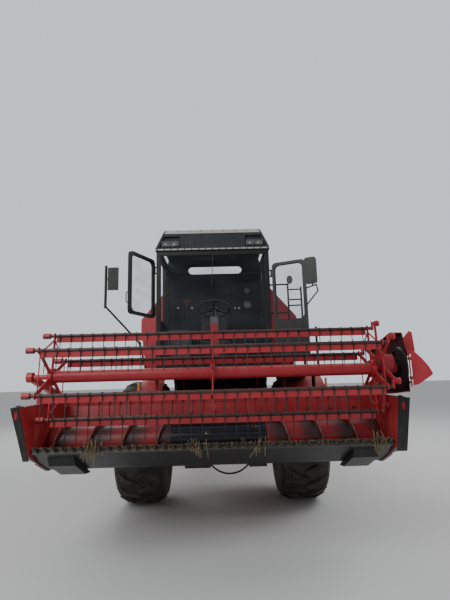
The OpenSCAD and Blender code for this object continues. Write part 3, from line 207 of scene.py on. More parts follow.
def enamel(name, fresh, faded, dust=0.5, chips=0.5, gloss=0.36, inset=None, sheen=0.45):
    """inset is a function of the look that gives pairs of mask and colour for parts in another paint."""
    look = Look(name, Specular_IOR_Level=sheen)
    patches = look.noise(1.6, 4, 0.6)
    runs = look.noise(1.0, 4, 0.6, stretch=(13, 13, 1.3)).over(0.56, 0.16)
    low = 1 - look.along("Z").over(0.9, 1.6)
    lying, not_under = look.facing_up().over(0.75, 0.4), look.facing_up().over(-0.55, 0.5)
    powder = look.noise(9, 5, 0.65).over(0.52, 0.3)
    dusty = (lying * 0.75 + runs * 0.20 + low * 0.28) * powder * not_under * dust
    flecks = look.noise(46, 5, 0.7).over(0.70 - 0.05 * chips, 0.03) * look.noise(5, 3).over(0.5, 0.2)
    drips = look.noise(1.0, 3, 0.5, stretch=(60, 60, 4)).over(0.66, 0.06) * look.noise(2.4, 3).over(0.58, 0.1)
    paint = look.mix(patches.over(0.5, 0.5), fresh, faded)
    for mask, colour in (inset(look) if inset else ()):
        paint = look.mix(mask, paint, colour)
    paint = look.mix(dusty, paint, harvest_dust)
    paint = look.mix(drips * (0.35 * chips), paint, rust_drip)
    paint = look.mix(flecks * chips, paint, rust_fleck)
    rough = look.noise(24, 3) * 0.16 + dusty * 0.4 + flecks * 0.3 + (gloss - 0.08)
    skin = look.noise(2.6, 2) * 3.0 + look.noise(150, 2) * 0.10 - flecks * 0.25
    return look.feed(skin, 0.0016, Base_Color=paint, Roughness=rough)


def wear(material, *nodes):
    """Gives the finish to these frame nodes."""
    for node in nodes:
        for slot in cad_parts[node].material_slots:
            slot.material = material


red_enamel = enamel("red_enamel", red_fresh, red_faded, dust=0.6)
black_enamel = enamel("black_enamel", black_fresh, black_faded, dust=0.42, chips=0.35, sheen=0.3)
wear(red_enamel, "thresher_body", "straw_hood", "grain_tank", "engine_hood", "unload_tube", "rim_front_left",
     "rim_front_right", "rim_rear_left", "rim_rear_right", "feeder_house", "reel_core", "reel_ring",
     "reel_guard", "fenders")
wear(black_enamel, "chassis_frame", "front_axle", "rear_axle", "cab_shell", "walkway", "mirror_right",
     "door_left", "window_right", "dividers", "header_drive", "header_hooks", "lift_barrels", "reel_barrels",
     "reel_pulley", "knuckle_left", "knuckle_right")


# Tyres: black moulded rubber, with grey dust in the tread and on the walls.
# The same rubber makes the belts, seals and wiper blade.
caked_dirt = (0.16, 0.13, 0.095)


def moulded(name, colour, dust, rough=0.72):
    look = Look(name, Specular_IOR_Level=0.35)
    patch = look.noise(7, 5, 0.65).over(0.50, 0.35)
    fine = look.noise(60, 4, 0.6)
    tone = look.mix(look.noise(3, 3), colour, tuple(value * 1.9 for value in colour))
    tone = look.mix(patch * dust, tone, caked_dirt)
    return look.feed(fine * 0.5 + look.noise(14, 3) * 1.5, 0.0012, Base_Color=tone,
                     Roughness=patch * 0.16 + (rough - 0.06))


tyre_rubber = moulded("tyre_rubber", (0.012, 0.012, 0.013), 0.42)
belt_rubber = moulded("belt_rubber", (0.013, 0.013, 0.014), 0.22)
seal_rubber = moulded("seal_rubber", (0.010, 0.010, 0.011), 0.12, rough=0.55)
wear(tyre_rubber, "tyre_front_left", "tyre_front_right", "tyre_rear_left", "tyre_rear_right")
wear(belt_rubber, "side_drive")


# Glass: clear toughened panes, each held all round by a rubber seal.
# A light film of dust lies on them, with smears down them and small specks.
glass_tint, glass_film = (0.05, 0.065, 0.08), 0.10
pane = Look("cab_pane", Base_Color=(*glass_tint, 1), Specular_IOR_Level=0.5, IOR=1.5)
smear = pane.noise(1.0, 4, 0.6, stretch=(3, 3, 9)).over(0.55, 0.3)
specks = pane.noise(90, 3, 0.7).over(0.68, 0.05)
pane.feed(Alpha=smear * glass_film + specks * (glass_film * 0.15) + glass_film * 0.7,
          Roughness=smear * 0.16 + 0.04)
pane.material.surface_render_method = "BLENDED"
wear(pane.material, "cab_glass", "door_pane", "window_pane")


# Bright steel: cylinder rods, the tie rod and shafts, turned and ground, with a film of oil.
# A brown haze of rust has started on it, and covers more of the small parts that aren't oiled.
def bright(name, colour, rust):
    look = Look(name)
    haze = look.noise(11, 5, 0.65).over(0.55, 0.25)
    tone = look.mix(look.noise(2, 3), colour, tuple(value * 0.6 for value in colour))
    tone = look.mix(haze * rust, tone, (0.13, 0.062, 0.032))
    scratch = look.noise(1.0, 3, 0.5, stretch=(160, 18, 160))
    return look.feed(scratch + haze, 0.0004, Base_Color=tone, Roughness=haze * 0.3 + scratch * 0.16 + 0.18,
                     Metallic=1 - haze * (rust * 0.8))


bright_steel = bright("bright_steel", (0.34, 0.34, 0.35), 0.35)
worn_steel = bright("worn_steel", (0.10, 0.085, 0.072), 0.75)
wear(bright_steel, "lift_rods", "reel_rods", "tie_rod")


# Cab roof: a moulded shell in dark grey, matt from the weather, held down by screws.
# A pale strip is cut from plate for its sloping front edge, and a pale lip runs under it.
class Piece:
    """A small piece in the making: turned, bent from rod or cut from plate, all in one mesh."""

    def __init__(self):
        self.mesh = bmesh.new()

    def skin(self, rings, closed_along=False):
        """Joins rings of points into a closed skin."""
        rows = [[self.mesh.verts.new(point) for point in ring] for ring in rings]
        pairs = list(zip(rows, rows[1:])) + ([(rows[-1], rows[0])] if closed_along else [])
        for low, high in pairs:
            count = len(low)
            for i in range(count):
                self.mesh.faces.new((low[i], low[(i + 1) % count], high[(i + 1) % count], high[i]))
        if not closed_along:
            self.mesh.faces.new(rows[0][::-1])
            self.mesh.faces.new(rows[-1])
        return self

    def turned(self, profile, stand, sides=16):
        """profile is a row of (radius, height) about the third axis of the frame it stands in."""
        angles = [math.tau * i / sides for i in range(sides)]
        return self.skin([[stand @ Vector((r * math.cos(a), r * math.sin(a), h)) for a in angles]
                          for r, h in profile])

    def bent(self, path, radius, sides=8, ring=False):
        """A rod or hose along a path."""
        path = [Vector(point) for point in path]
        angles = [math.tau * k / sides for k in range(sides)]
        rings, side = [], None
        for i, point in enumerate(path):
            before = path[i - 1] if i or ring else point
            after = path[(i + 1) % len(path)] if i + 1 < len(path) or ring else point
            way = (after - before).normalized()
            side = way.orthogonal() if side is None else side - way * side.dot(way)
            side = side.normalized()
            other = way.cross(side)
            rings.append([point + (side * math.cos(a) + other * math.sin(a)) * radius for a in angles])
        return self.skin(rings, closed_along=ring)

    def plate(self, outline, thick, stand, edge=0.0):
        """A flat outline in the frame's first two axes, thick along the third, with broken edges."""
        made = Piece().skin([[stand @ Vector((x, y, z)) for x, y in outline] for z in (0, thick)])
        if edge:
            bmesh.ops.bevel(made.mesh, geom=list(made.mesh.edges), offset=edge, segments=2, affect="EDGES",
                            profile=0.6)
        bmesh.ops.recalc_face_normals(made.mesh, faces=made.mesh.faces)
        spare = bpy.data.meshes.new("spare")
        made.mesh.to_mesh(spare)
        self.mesh.from_mesh(spare)
        bpy.data.meshes.remove(spare)
        made.mesh.free()
        return self

    def data(self, name, finish, angle=0.7):
        bmesh.ops.recalc_face_normals(self.mesh, faces=self.mesh.faces)
        mesh = bpy.data.meshes.new(name)
        self.mesh.to_mesh(mesh)
        self.mesh.free()
        mesh.materials.append(finish)
        mesh.polygons.foreach_set("use_smooth", [True] * len(mesh.polygons))
        mesh.set_sharp_from_angle(angle=angle)
        return mesh

    def fitted(self, name, finish, body, slot):
        made = bpy.data.objects.new(name, self.data(name, finish))
        bpy.context.collection.objects.link(made)
        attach(made, body)


def frame_at(place, third, first=(1, 0, 0)):
    """A frame standing at a place, with its third axis along a direction."""
    third, first = Vector(third).normalized(), Vector(first)
    second = third.cross(first).normalized()
    first = second.cross(third)
    return Matrix.Translation(place) @ Matrix((first, second, third)).transposed().to_4x4()


def rounded(width, height, radius, steps=4):
    """Outline of a plate with round corners, about its middle."""
    corners = ((1, 1, 0), (-1, 1, 90), (-1, -1, 180), (1, -1, 270))
    return [((sx * (width / 2 - radius)) + radius * math.cos(math.radians(a + 90 * i / steps)),
             (sy * (height / 2 - radius)) + radius * math.sin(math.radians(a + 90 * i / steps)))
            for sx, sy, a in corners for i in range(steps + 1)]


def planting():
    """Geometry Nodes: a copy of one piece on every point, turned as the point says, a little at random."""
    tree = bpy.data.node_groups.new("planting", "GeometryNodeTree")
    inputs = {}
    for name, kind in (("Points", "Geometry"), ("Piece", "Object"), ("Swing", "Vector"), ("Smallest", "Float"),
                       ("Largest", "Float"), ("Seed", "Int"), ("Finish", "Material")):
        made = tree.interface.new_socket(name, in_out="INPUT", socket_type="NodeSocket" + kind)
        inputs[name] = made.identifier
    tree.interface.new_socket("Set", in_out="OUTPUT", socket_type="NodeSocketGeometry")
    given, result, source, turn, swing, size, copies, back, both, real, paint = (
        tree.nodes.new(kind) for kind in (
            "NodeGroupInput", "NodeGroupOutput", "GeometryNodeObjectInfo", "GeometryNodeInputNamedAttribute",
            "FunctionNodeRandomValue", "FunctionNodeRandomValue", "GeometryNodeInstanceOnPoints",
            "ShaderNodeVectorMath", "ShaderNodeVectorMath", "GeometryNodeRealizeInstances",
            "GeometryNodeSetMaterial"))
    turn.data_type, swing.data_type, back.operation = "FLOAT_VECTOR", "FLOAT_VECTOR", "SCALE"
    turn.inputs["Name"].default_value = "turn"
    back.inputs["Scale"].default_value = -1
    for start, out, end, into in (
            (given, "Piece", source, "Object"), (given, "Swing", back, 0), (back, 0, swing, 0),
            (given, "Swing", swing, 1), (given, "Seed", swing, "Seed"), (given, "Smallest", size, 2),
            (given, "Largest", size, 3), (given, "Seed", size, "Seed"), (turn, "Attribute", both, 0),
            (swing, 0, both, 1), (given, "Points", copies, "Points"), (source, "Geometry", copies, "Instance"),
            (both, 0, copies, "Rotation"), (size, 1, copies, "Scale"), (copies, 0, real, 0),
            (real, 0, paint, "Geometry"), (given, "Finish", paint, "Material"), (paint, 0, result, 0)):
        tree.links.new(start.outputs[out], end.inputs[into])
    return tree, inputs


planting_tree, planting_inputs = planting()


def planted(name, pattern, spots, finish, body, swing=(0, 0, 0), sizes=(1, 1), seed=1):
    """Sets the pattern piece at each spot, a (place, turn) pair, as one mesh that rides on the body."""
    points = bpy.data.meshes.new(name + "_spots")
    points.from_pydata([place for place, turn in spots], [], [])
    turns = points.attributes.new("turn", "FLOAT_VECTOR", "POINT")
    turns.data.foreach_set("vector", [value for place, turn in spots for value in turn])
    ground = bpy.data.objects.new(name + "_spots", points)
    single = bpy.data.objects.new(name + "_one", pattern)
    for thing in (ground, single):
        bpy.context.collection.objects.link(thing)
    modifier = ground.modifiers.new("planting", "NODES")
    modifier.node_group = planting_tree
    for key, value in (("Piece", single), ("Swing", swing), ("Smallest", float(sizes[0])),
                       ("Largest", float(sizes[1])), ("Seed", seed), ("Finish", finish)):
        modifier[planting_inputs[key]] = value
    graph = bpy.context.evaluated_depsgraph_get()
    mesh = bpy.data.meshes.new_from_object(ground.evaluated_get(graph))
    ground.modifiers.remove(modifier)
    for thing in (ground, single):
        bpy.data.objects.remove(thing)
    made = bpy.data.objects.new(name, mesh)
    bpy.context.collection.objects.link(made)
    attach(made, body)


roof_shell = enamel("roof_shell", (0.017, 0.019, 0.024), (0.028, 0.031, 0.036), dust=0.4, chips=0.1,
                    gloss=0.55, sheen=0.3)
pale_trim = enamel("pale_trim", (0.34, 0.34, 0.33), (0.42, 0.42, 0.40), dust=0.4, chips=0.2, gloss=0.45)
wear(roof_shell, "cab_roof")
cab_x, cab_front, roof_low, roof_high = -61, -1035, 3150, 3454
brow_foot, brow_run, brow_rise = cab_front + 75, 35, 60
strip_foot, strip_top, strip_height = 0.602, 0.594, 0.064
strip = Piece()
strip.plate([(-strip_foot, 0.0), (strip_foot, 0.0), (strip_top, strip_height), (-strip_top, strip_height)],
            0.003,
            frame_at(machine(cab_x, brow_foot - 1, roof_high - brow_rise + 1), (0, -brow_rise, brow_run)),
            0.0012)
strip.fitted("roof_strip", pale_trim, "chassis", "roof_paint")
lip_height = roof_low + 12
lip = Piece()
lip.plate(rounded(1.400, 0.017, 0.005), 0.0025,
          frame_at(machine(cab_x, cab_front - 21, lip_height), (0, -1, 0)), 0.001)
lip.fitted("roof_lip", pale_trim, "chassis", "roof_paint")
screw = Piece().turned([(0.0005, 0.0045), (0.004, 0.0042), (0.0075, 0.0022), (0.009, 0.0), (0.0005, 0.0)],
                       Matrix(), 10)
lip_screws = [(machine(cab_x + 85 * k, cab_front - 23, lip_height), (math.pi / 2, 0, 0))
              for k in range(-8, 9)]
strip_screws = [(machine(cab_x + 145 * k, brow_foot + 15, roof_high - brow_rise + 35),
                 (math.atan2(brow_rise, brow_run), 0, 0)) for k in range(-4, 5)]
planted("roof_screws", screw.data("screw_head", worn_steel), lip_screws + strip_screws, worn_steel, "chassis")


# Lamps and reflectors: clear ribbed lenses in the roof corners, amber beside the wheels, red at the rear.
# Each roof lamp has a bright rim bent from wire, and a bright cap over its bulb.
lens = Look("lamp_lens", Coat_Weight=0.6, Coat_Roughness=0.05, Roughness=0.18)
ribs = lens.waves("X", 26.0, 0.4)
tone = lens.mix(lens.noise(14, 4).over(0.5, 0.5), (0.045, 0.048, 0.055), (0.075, 0.078, 0.085))
tone = lens.mix(1 - lens.along("Z").over(2.4, 0.2), tone, (0.72, 0.28, 0.02))
tone = lens.mix(lens.along("Y").over(1.0, 0.2), tone, (0.42, 0.012, 0.012))
wear(lens.feed(ribs, 0.0015, Base_Color=tone), "lamps")
both_sides = ((-1, "right"), (1, "left"))
lamp_lean, lamp_half_width, lamp_half_height = 0.436, 45, 55
bulb_cap = [(0.001, 0.0015), (0.012, 0.003), (0.019, 0.002), (0.022, -0.001), (0.001, -0.001)]
for side_of, side_name in both_sides:
    for near_edge, lamp_name in ((425, "inner"), (533, "outer")):
        middle = machine(cab_x + side_of * (near_edge + lamp_half_width),
                         cab_front - 11 + lamp_half_height * lamp_lean, roof_low + 42 + lamp_half_height)
        stand = frame_at(middle, (0, -1, lamp_lean))
        rim, outline = Piece(), rounded(0.096, 0.078, 0.010)
        rim.bent([stand @ Vector((x, y, 0.001)) for x, y in outline], 0.0035, 6, ring=True)
        rim.turned(bulb_cap, stand, 14)
        rim.fitted(f"lamp_rim_{side_name}_{lamp_name}", bright_steel, "chassis", "bare_steel")


# Cab inside: a steering column with a grey cap, a black wheel, and a grey side console with its levers.
# Two round moulded vents and four knobs are set in the rear wall, above the seat.
column_cap, wheel_low, console_edge, console_top, lever_low = 2.258, 2.338, -0.33, 2.205, 2.50


def control_parts(look):
    z, console = look.along("Z"), 1 - look.along("X").over(console_edge, 0.01)
    return [(z.over(column_cap, 0.004), (0.13, 0.13, 0.135)),
            (z.over(wheel_low, 0.01), (0.011, 0.011, 0.012)),
            (console, (0.060, 0.062, 0.066)),
            (console * z.over(console_top, 0.004), (0.012, 0.012, 0.013)),
            (console * z.over(lever_low, 0.01), (0.16, 0.014, 0.014))]


wear(enamel("control_enamel", red_fresh, red_faded, dust=0.35, chips=0.4, inset=control_parts),
     "cab_controls")
grille_grey = moulded("grille_grey", (0.20, 0.205, 0.21), 0.15, rough=0.5)
for vent_name, height, radius in (("high", 2828, 0.040), ("low", 2622, 0.050)):
    vent, stand = Piece(), frame_at(machine(412, -44, height), (0, -1, 0))
    vent.turned([(radius * 0.80, 0), (radius, 0), (radius, 0.005), (radius * 0.93, 0.009),
                 (radius * 0.80, 0.004)], stand, 28)
    for k in range(-3, 4):
        bar = k * radius * 0.23
        half = math.sqrt(max(0.0, (radius * 0.82) ** 2 - bar ** 2))
        vent.plate([(-half, bar - 0.002), (half, bar - 0.002), (half, bar + 0.002), (-half, bar + 0.002)],
                   0.004, stand)
    vent.turned([(0.002, 0), (radius * 0.2, 0), (radius * 0.18, 0.006), (0.002, 0.007)], stand, 14)
    vent.fitted(f"cab_vent_{vent_name}", grille_grey, "chassis", "black_paint")

knob = Piece()
for x, z in ((-587, 2600), (-386, 2595), (233, 2580), (290, 2578)):
    knob.turned([(0.001, 0), (0.016, 0), (0.016, 0.008), (0.012, 0.013), (0.001, 0.014)],
                frame_at(machine(x, -31, z), (0, -1, 0)), 16)
knob.fitted("wall_knobs", moulded("pale_knob", (0.42, 0.42, 0.40), 0.2, rough=0.45), "chassis", "black_paint")


# Seat: a sprung seat on rubber bellows, with a loose cushion and back of filled, woven grey cloth.
# Two channels are sewn along each pad, and rubber piping covers its edge seam.
threads = 190.0
cloth = Look("seat_cloth", Sheen_Weight=0.3, Sheen_Roughness=0.5, Specular_IOR_Level=0.2)
warp, weft = cloth.waves("X", threads, 0.5), cloth.waves("Y", threads, 0.5)
worn = cloth.noise(5, 4).over(0.55, 0.3)
tone = cloth.mix(cloth.noise(22, 4), (0.030, 0.032, 0.037), (0.060, 0.062, 0.068))
tone = cloth.mix(worn * 0.5, tone, (0.10, 0.085, 0.065))
cloth.feed(warp * 0.5 + weft * 0.5 + worn, 0.0007, Base_Color=tone, Roughness=worn * 0.1 + 0.82)
voxel, most_swell, last_step = 0.008, 0.014, 20
crown_rise, channel_depth, channel_at, channel_width = 0.010, 0.007, 0.42, 0.05


def cushion(name, low, high, lean=0.0):
    """A filled pad: blown up a little from its cut shape by cloth pressure, then sewn and piped."""
    middle, size = (low + high) / 2, high - low
    upright, cut_size = size.z > size.y, size - Vector((0.03, 0.03, 0.03))
    made = bpy.data.objects.new(name, bpy.data.meshes.new(name))
    bpy.context.collection.objects.link(made)
    block = bmesh.new()
    bmesh.ops.create_cube(block, size=1, matrix=Matrix.Diagonal((*cut_size, 1)))
    bmesh.ops.bevel(block, geom=list(block.edges), offset=0.028, segments=3, affect="EDGES", profile=0.5)
    block.to_mesh(made.data)
    block.free()
    mesher = made.modifiers.new("even", "REMESH")
    mesher.mode, mesher.voxel_size = "VOXEL", voxel
    graph = bpy.context.evaluated_depsgraph_get()
    even = bpy.data.meshes.new_from_object(made.evaluated_get(graph))
    made.modifiers.remove(mesher)
    made.data = even
    cut = [vertex.co.copy() for vertex in even.vertices]
    filling = made.modifiers.new("filling", "CLOTH")
    filling.settings.use_pressure = True
    filling.settings.uniform_pressure_force = 4
    filling.settings.quality = 4
    filling.settings.effector_weights.gravity = 0
    filling.point_cache.frame_start, filling.point_cache.frame_end = 1, last_step
    for step in range(1, last_step + 1):
        bpy.context.scene.frame_set(step)
    graph = bpy.context.evaluated_depsgraph_get()
    full = bpy.data.meshes.new_from_object(made.evaluated_get(graph))
    made.modifiers.remove(filling)
    bpy.context.scene.frame_set(1)
    for vertex, start in zip(full.vertices, cut):
        move = vertex.co - start
        vertex.co = start + move * min(1.0, most_swell / max(move.length, 1e-6))
    made.data = full
    half, tilt_of = cut_size / 2, Matrix.Rotation(lean, 4, "X")
    for vertex in made.data.vertices:
        u = vertex.co.x / half.x
        v = vertex.co.z / half.z if upright else vertex.co.y / half.y
        crown = max(0.0, 1 - u * u) * max(0.0, 1 - v * v)
        channel = max(0.0, 1 - abs(abs(u) - channel_at) / channel_width) * (1 if abs(v) < 0.8 else 0)
        lift = (crown_rise * crown - channel_depth * channel) if abs(u) < 1 and abs(v) < 1 else 0
        if upright and vertex.co.y < 0:
            vertex.co.y -= lift
        elif not upright and vertex.co.z > 0:
            vertex.co.z += lift
        vertex.co = tilt_of @ vertex.co + middle
    made.data.materials.clear()
    made.data.materials.append(cloth.material)
    made.data.polygons.foreach_set("use_smooth", [True] * len(made.data.polygons))
    piping, stand = Piece(), Matrix.Translation(middle) @ tilt_of
    seam_level = (-0.5 * size.y + 0.022) if upright else (0.5 * size.z - 0.022)
    outline = rounded(size.x - 0.034, (size.z if upright else size.y) - 0.034, 0.03)
    piping.bent([stand @ Vector((x, seam_level, y) if upright else (x, y, seam_level)) for x, y in outline],
                0.0045, 6, ring=True)
    piping.fitted(name + "_piping", seal_rubber, "chassis", "seat_fabric")
    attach(made, "chassis")
    return made


seat = cushion("seat_cushion", machine(cab_x - 225, -478, 1958), machine(cab_x + 225, -66, 2080))
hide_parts("cab_seat")
cushion("seat_back", machine(cab_x - 215, -130, 2090), machine(cab_x + 215, -40, 2552), lean=-0.08)
bellows, bellows_low, fold_rise = Piece(), 1700, 42
for k in range(6):
    stand = Matrix.Translation(machine(cab_x, -280, bellows_low + fold_rise * k))
    bellows.skin([[stand @ Vector((x * grow, y * grow, h)) for x, y in rounded(0.30, 0.22, 0.02)]
                  for grow, h in ((0.90, 0.0), (1.0, 0.016), (1.0, 0.026), (0.90, 0.042))])
bellows.plate(rounded(0.34, 0.30, 0.02), 0.012, Matrix.Translation(machine(cab_x, -275, 1948)), 0.002)
bellows.fitted("seat_bellows", seal_rubber, "chassis", "black_paint")


# Windscreen wiper: a spindle under the roof's edge, a pressed arm, and a rubber blade on its clip.
# The arm and the blade's back are bent from rod and painted black.
pivot, blade_top, blade_low = machine(-55, -1034, 3078), machine(-62, -1036, 2985), machine(-80, -1036, 2700)
blade_middle, clip = (blade_top + blade_low) / 2, Vector((0, -0.004, 0))
back_out = Vector((0, -0.003, 0))
wiper = Piece()
wiper.turned([(0.001, -0.012), (0.011, -0.012), (0.011, 0.006), (0.007, 0.010), (0.001, 0.011)],
             frame_at(pivot, (0, -1, 0)), 14)
wiper.bent([pivot + clip, pivot + Vector((-0.004, -0.008, -0.08)), blade_middle + clip], 0.0042, 6)
wiper.bent([blade_top, (blade_top * 2 + blade_low) / 3 + back_out, blade_middle + clip,
            (blade_top + blade_low * 2) / 3 + back_out, blade_low], 0.0034, 6)
wiper.fitted("wiper_arm", black_enamel, "chassis", "black_paint")
edge = Piece()
edge.plate([(-0.003, -0.19), (0.003, -0.19), (0.0015, 0.19), (-0.0015, 0.19)], 0.010,
           frame_at(blade_middle + Vector((0, -0.001, -0.01)), (0, 1, 0), (1, 0, -0.05)))
edge.fitted("wiper_rubber", seal_rubber, "chassis", "tyre_rubber")


# Seals, handles and mirrors: moulded rubber strip round the windscreen and every pane of the cab.
# Each leaf has a plate with a bent grip inside, and the two mirrors have silvered glass.
def seal(name, body, stand, width, height, corner, thick=0.007):
    made = Piece()
    made.bent([stand @ Vector((x, y, 0)) for x, y in rounded(width, height, corner)], thick, 6, ring=True)
    made.fitted(name, seal_rubber, body, "tyre_rubber")


cab_half, side_glass_in, hinge_out, leaf_y = 693, 20, 22, cab_front + 10
seal("windscreen_seal", "chassis", frame_at(machine(cab_x, leaf_y, 2459), (0, -1, 0)),
     1.290, 1.276, 0.03, 0.009)
seal("side_seal_left", "chassis",
     frame_at(machine(cab_x + cab_half - side_glass_in, -265, 2665), (1, 0, 0), (0, 1, 0)),
     0.440, 0.842, 0.03)
seal("side_seal_right", "chassis",
     frame_at(machine(cab_x - cab_half + side_glass_in, -220, 2695), (-1, 0, 0), (0, -1, 0)),
     0.350, 0.782, 0.03)
door_open, window_open = math.radians(-118), math.radians(156)
door_hinge = machine(cab_x + cab_half + hinge_out, leaf_y, 0)
window_hinge = machine(cab_x - cab_half - hinge_out, leaf_y, 0)
door = Matrix.Translation(door_hinge) @ Matrix.Rotation(door_open, 4, "Z")
window = Matrix.Translation(window_hinge) @ Matrix.Rotation(window_open, 4, "Z")


def leaf_plane(leaf, middle_y, middle_z, offset):
    """A frame in the plane of a leaf: first axis along the leaf, second up, third across it."""
    return leaf @ Matrix(((0, 0, 1, offset), (1, 0, 0, middle_y), (0, 1, 0, middle_z), (0, 0, 0, 1)))


for offset, face_name in ((-0.004, "inner"), (0.004, "outer")):
    seal(f"door_seal_{face_name}", "cab_door_left", leaf_plane(door, 0.222, 2.588, offset),
         0.344, 0.672, 0.056, 0.0055)
    seal(f"window_seal_{face_name}", "cab_window_right", leaf_plane(window, 0.267, 2.671, offset),
         0.434, 0.646, 0.056, 0.0055)
for name, body, leaf, reach, height, inwards in (
        ("door_handle", "cab_door_left", door, 0.404, 2.06, -1),
        ("window_handle", "cab_window_right", window, 0.494, 2.50, 1)):
    grip, stand = Piece(), leaf_plane(leaf, reach, height, inwards * 0.017)
    grip.plate(rounded(0.026, 0.15, 0.008), 0.006 * inwards, stand, 0.0012)
    bends = ((-0.06, 0), (-0.058, 0.026), (-0.045, 0.038), (0.045, 0.038), (0.058, 0.026), (0.06, 0))
    grip.bent([stand @ Vector((0, y, out * inwards)) for y, out in bends], 0.0065, 8)
    grip.fitted(name, black_enamel, body, "black_paint")

silver = Look("mirror_glass", Metallic=1.0)
bloom = silver.noise(3, 4).over(0.6, 0.2) * 0.5
silver.feed(Base_Color=silver.mix(bloom, (0.62, 0.65, 0.68), (0.36, 0.34, 0.30)),
            Roughness=silver.noise(30, 3) * 0.06 + 0.03)
mirror_glass = 0.0015
face = Piece()
face.plate(rounded(0.100, 0.236, 0.012), mirror_glass,
           frame_at(machine(-1167.5, -1464, 2707.5), (0, 1, 0), (-1, 0, 0)), 0.0005)
face.fitted("mirror_face_right", silver.material, "chassis", "pane_glass")
face = Piece()
face.plate(rounded(0.130, 0.300, 0.026), mirror_glass, leaf_plane(door, 0.506, 2.796, 0.0365), 0.0005)
face.fitted("mirror_face_left", silver.material, "cab_door_left", "pane_glass")


# Engine and platform: a cast block with oily soot, a rusted exhaust pipe and a black air cleaner.
# The platform is steel plate, with raised treads pressed in it crosswise.
def engine_parts(look):
    pipe = look.along("Z").over(2.66, 0.02) * (1 - look.along("X").over(-0.2, 0.01))
    return [(pipe, (0.16, 0.062, 0.030)), (pipe * look.noise(8, 4).over(0.5, 0.3), (0.060, 0.030, 0.020))]


wear(enamel("engine_cast", (0.022, 0.022, 0.023), (0.045, 0.042, 0.038), dust=0.9, chips=0.8, gloss=0.6,
            inset=engine_parts), "engine")
lozenge = ((-0.016, 0), (-0.008, -0.0042), (0.008, -0.0042), (0.016, 0), (0.008, 0.0042), (-0.008, 0.0042))
tread = Piece()
tread.skin([[Vector((x * grow, y * grow, h)) for x, y in lozenge] for grow, h in ((1, 0), (0.72, 0.0022))])
tread_pitch, deck_top = 42, 1638
spots = [(machine(x, y, deck_top), (0, 0, math.pi / 4 * (1 if (i + j) % 2 else -1)))
         for i, x in enumerate(range(-835, 1135, tread_pitch))
         for j, y in enumerate(range(-1280, -475, tread_pitch))]
planted("deck_treads", tread.data("tread_bar", black_enamel), spots, black_enamel, "chassis")


# Body sides: pressed ribs riveted to the sheets, and access panels on piano hinges with slotted catches.
# The rear lamps have a dark surround.
rivet = Piece().turned([(0.0001, 0.0), (0.0085, 0.0), (0.0080, 0.0025), (0.0052, 0.0048), (0.0001, 0.0056)],
                       Matrix(), 12)
body_end, tank_foot_x, tank_foot_z, tank_slope = 2450, 1049, 1660, 0.134
rows = []
for side_of, side_name in both_sides:
    turn_out = (0, side_of * math.pi / 2, 0)
    rows += [(machine(side_of * 616, body_end + 21 + y, z), turn_out)
             for y in (60, 620, 1180) for z in range(1080, 1990, 100)]
    for k in (1, 2, 3):
        y = 30 + 1610 * k / 4
        rows += [(machine(side_of * (tank_foot_x + (z - tank_foot_z) * tank_slope), y, z), turn_out)
                 for z in range(1700, 2290, 97)]
        rows += [(machine(side_of * 1135, y, z), turn_out) for z in (2330, 2410)]
    rows += [(machine(side_of * 672, y, 2984), (0, 0, 0)) for y in range(80, 1640, 195)]
planted("body_rivets", rivet.data("rivet_head", red_enamel), rows, red_enamel, "chassis")
panels, catches, knuckle_pitch, knuckle_half = Piece(), Piece(), 0.048, 0.02
for side_of, side_name in both_sides:
    for middle, low, high in ((2856, 1210, 1880), (3416, 1250, 1880)):
        width, height = 0.470, (high - low) / 1000
        stand = frame_at(machine(side_of * 599.5, middle, (low + high) / 2), (side_of, 0, 0), (0, side_of, 0))
        panels.plate(rounded(width, height, 0.03), 0.006, stand, 0.0018)
        panels.plate(rounded(width - 0.11, height - 0.11, 0.05), 0.0095, stand, 0.003)
        hinge = stand @ Vector((0, height / 2 - 0.006, 0.007))
        along = (stand.to_3x3() @ Vector((1, 0, 0))).normalized()
        for k in range(-4, 5):
            ends = (k * knuckle_pitch - knuckle_half, k * knuckle_pitch + knuckle_half)
            catches.bent([hinge + along * end for end in ends], 0.0065, 8)
        for k in (-1, 1):
            spot = stand @ Vector((k * (width / 2 - 0.05), -height / 2 + 0.03, 0.006))
            catches.turned([(0.0001, 0), (0.017, 0), (0.017, 0.004), (0.012, 0.007), (0.0001, 0.0075)],
                           frame_at(spot, (side_of, 0, 0), (0, 1, 0)), 18)
            catches.plate(rounded(0.020, 0.0035, 0.001, 1), 0.009,
                          frame_at(spot, (side_of, 0, 0), (0, 1, 0.6)))
panels.fitted("access_panels", red_enamel, "chassis", "red_paint")
catches.fitted("panel_catches", worn_steel, "chassis", "bare_steel")
for side_of, side_name in both_sides:
    surround, outline = Piece(), rounded(0.096, 0.086, 0.01)
    surround.bent([machine(side_of * 520 + x * 1000, 4332, 1540 + z * 1000) for x, z in outline],
                  0.0045, 6, ring=True)
    surround.fitted(f"rear_lamp_rim_{side_name}", seal_rubber, "chassis", "tyre_rubber")


# Hood louvres: slats folded from sheet and painted black, seven in each side opening of the hood.
# They are set at a slant, so air comes in and straw stays out.
slat_half, slat_pitch = 0.225, 80
slats = [(machine(side_of * 779, 2020, 1951 + slat_pitch * i), (0, 0, 0))
         for side_of in (-1, 1) for i in range(7)]
slat = Piece()
slat.plate([(-0.004, -slat_half), (0.010, -slat_half), (0.010, slat_half), (-0.004, slat_half)], 0.003,
           Matrix.Rotation(0.5, 4, "Y"), 0.0008)
planted("hood_slats", slat.data("hood_slat", black_enamel), slats, black_enamel, "chassis")


# Header table and knife: folded red sheet, painted near-black underneath, partly for dirt and partly as
# painted shade, its floor scoured brown by straw.
# Hexagon bolts hold the back and end walls, and a small bolt holds each knife guard.
header_x, knife_y, knife_z, header_tilt = -69, -2361, 1030, math.radians(22)


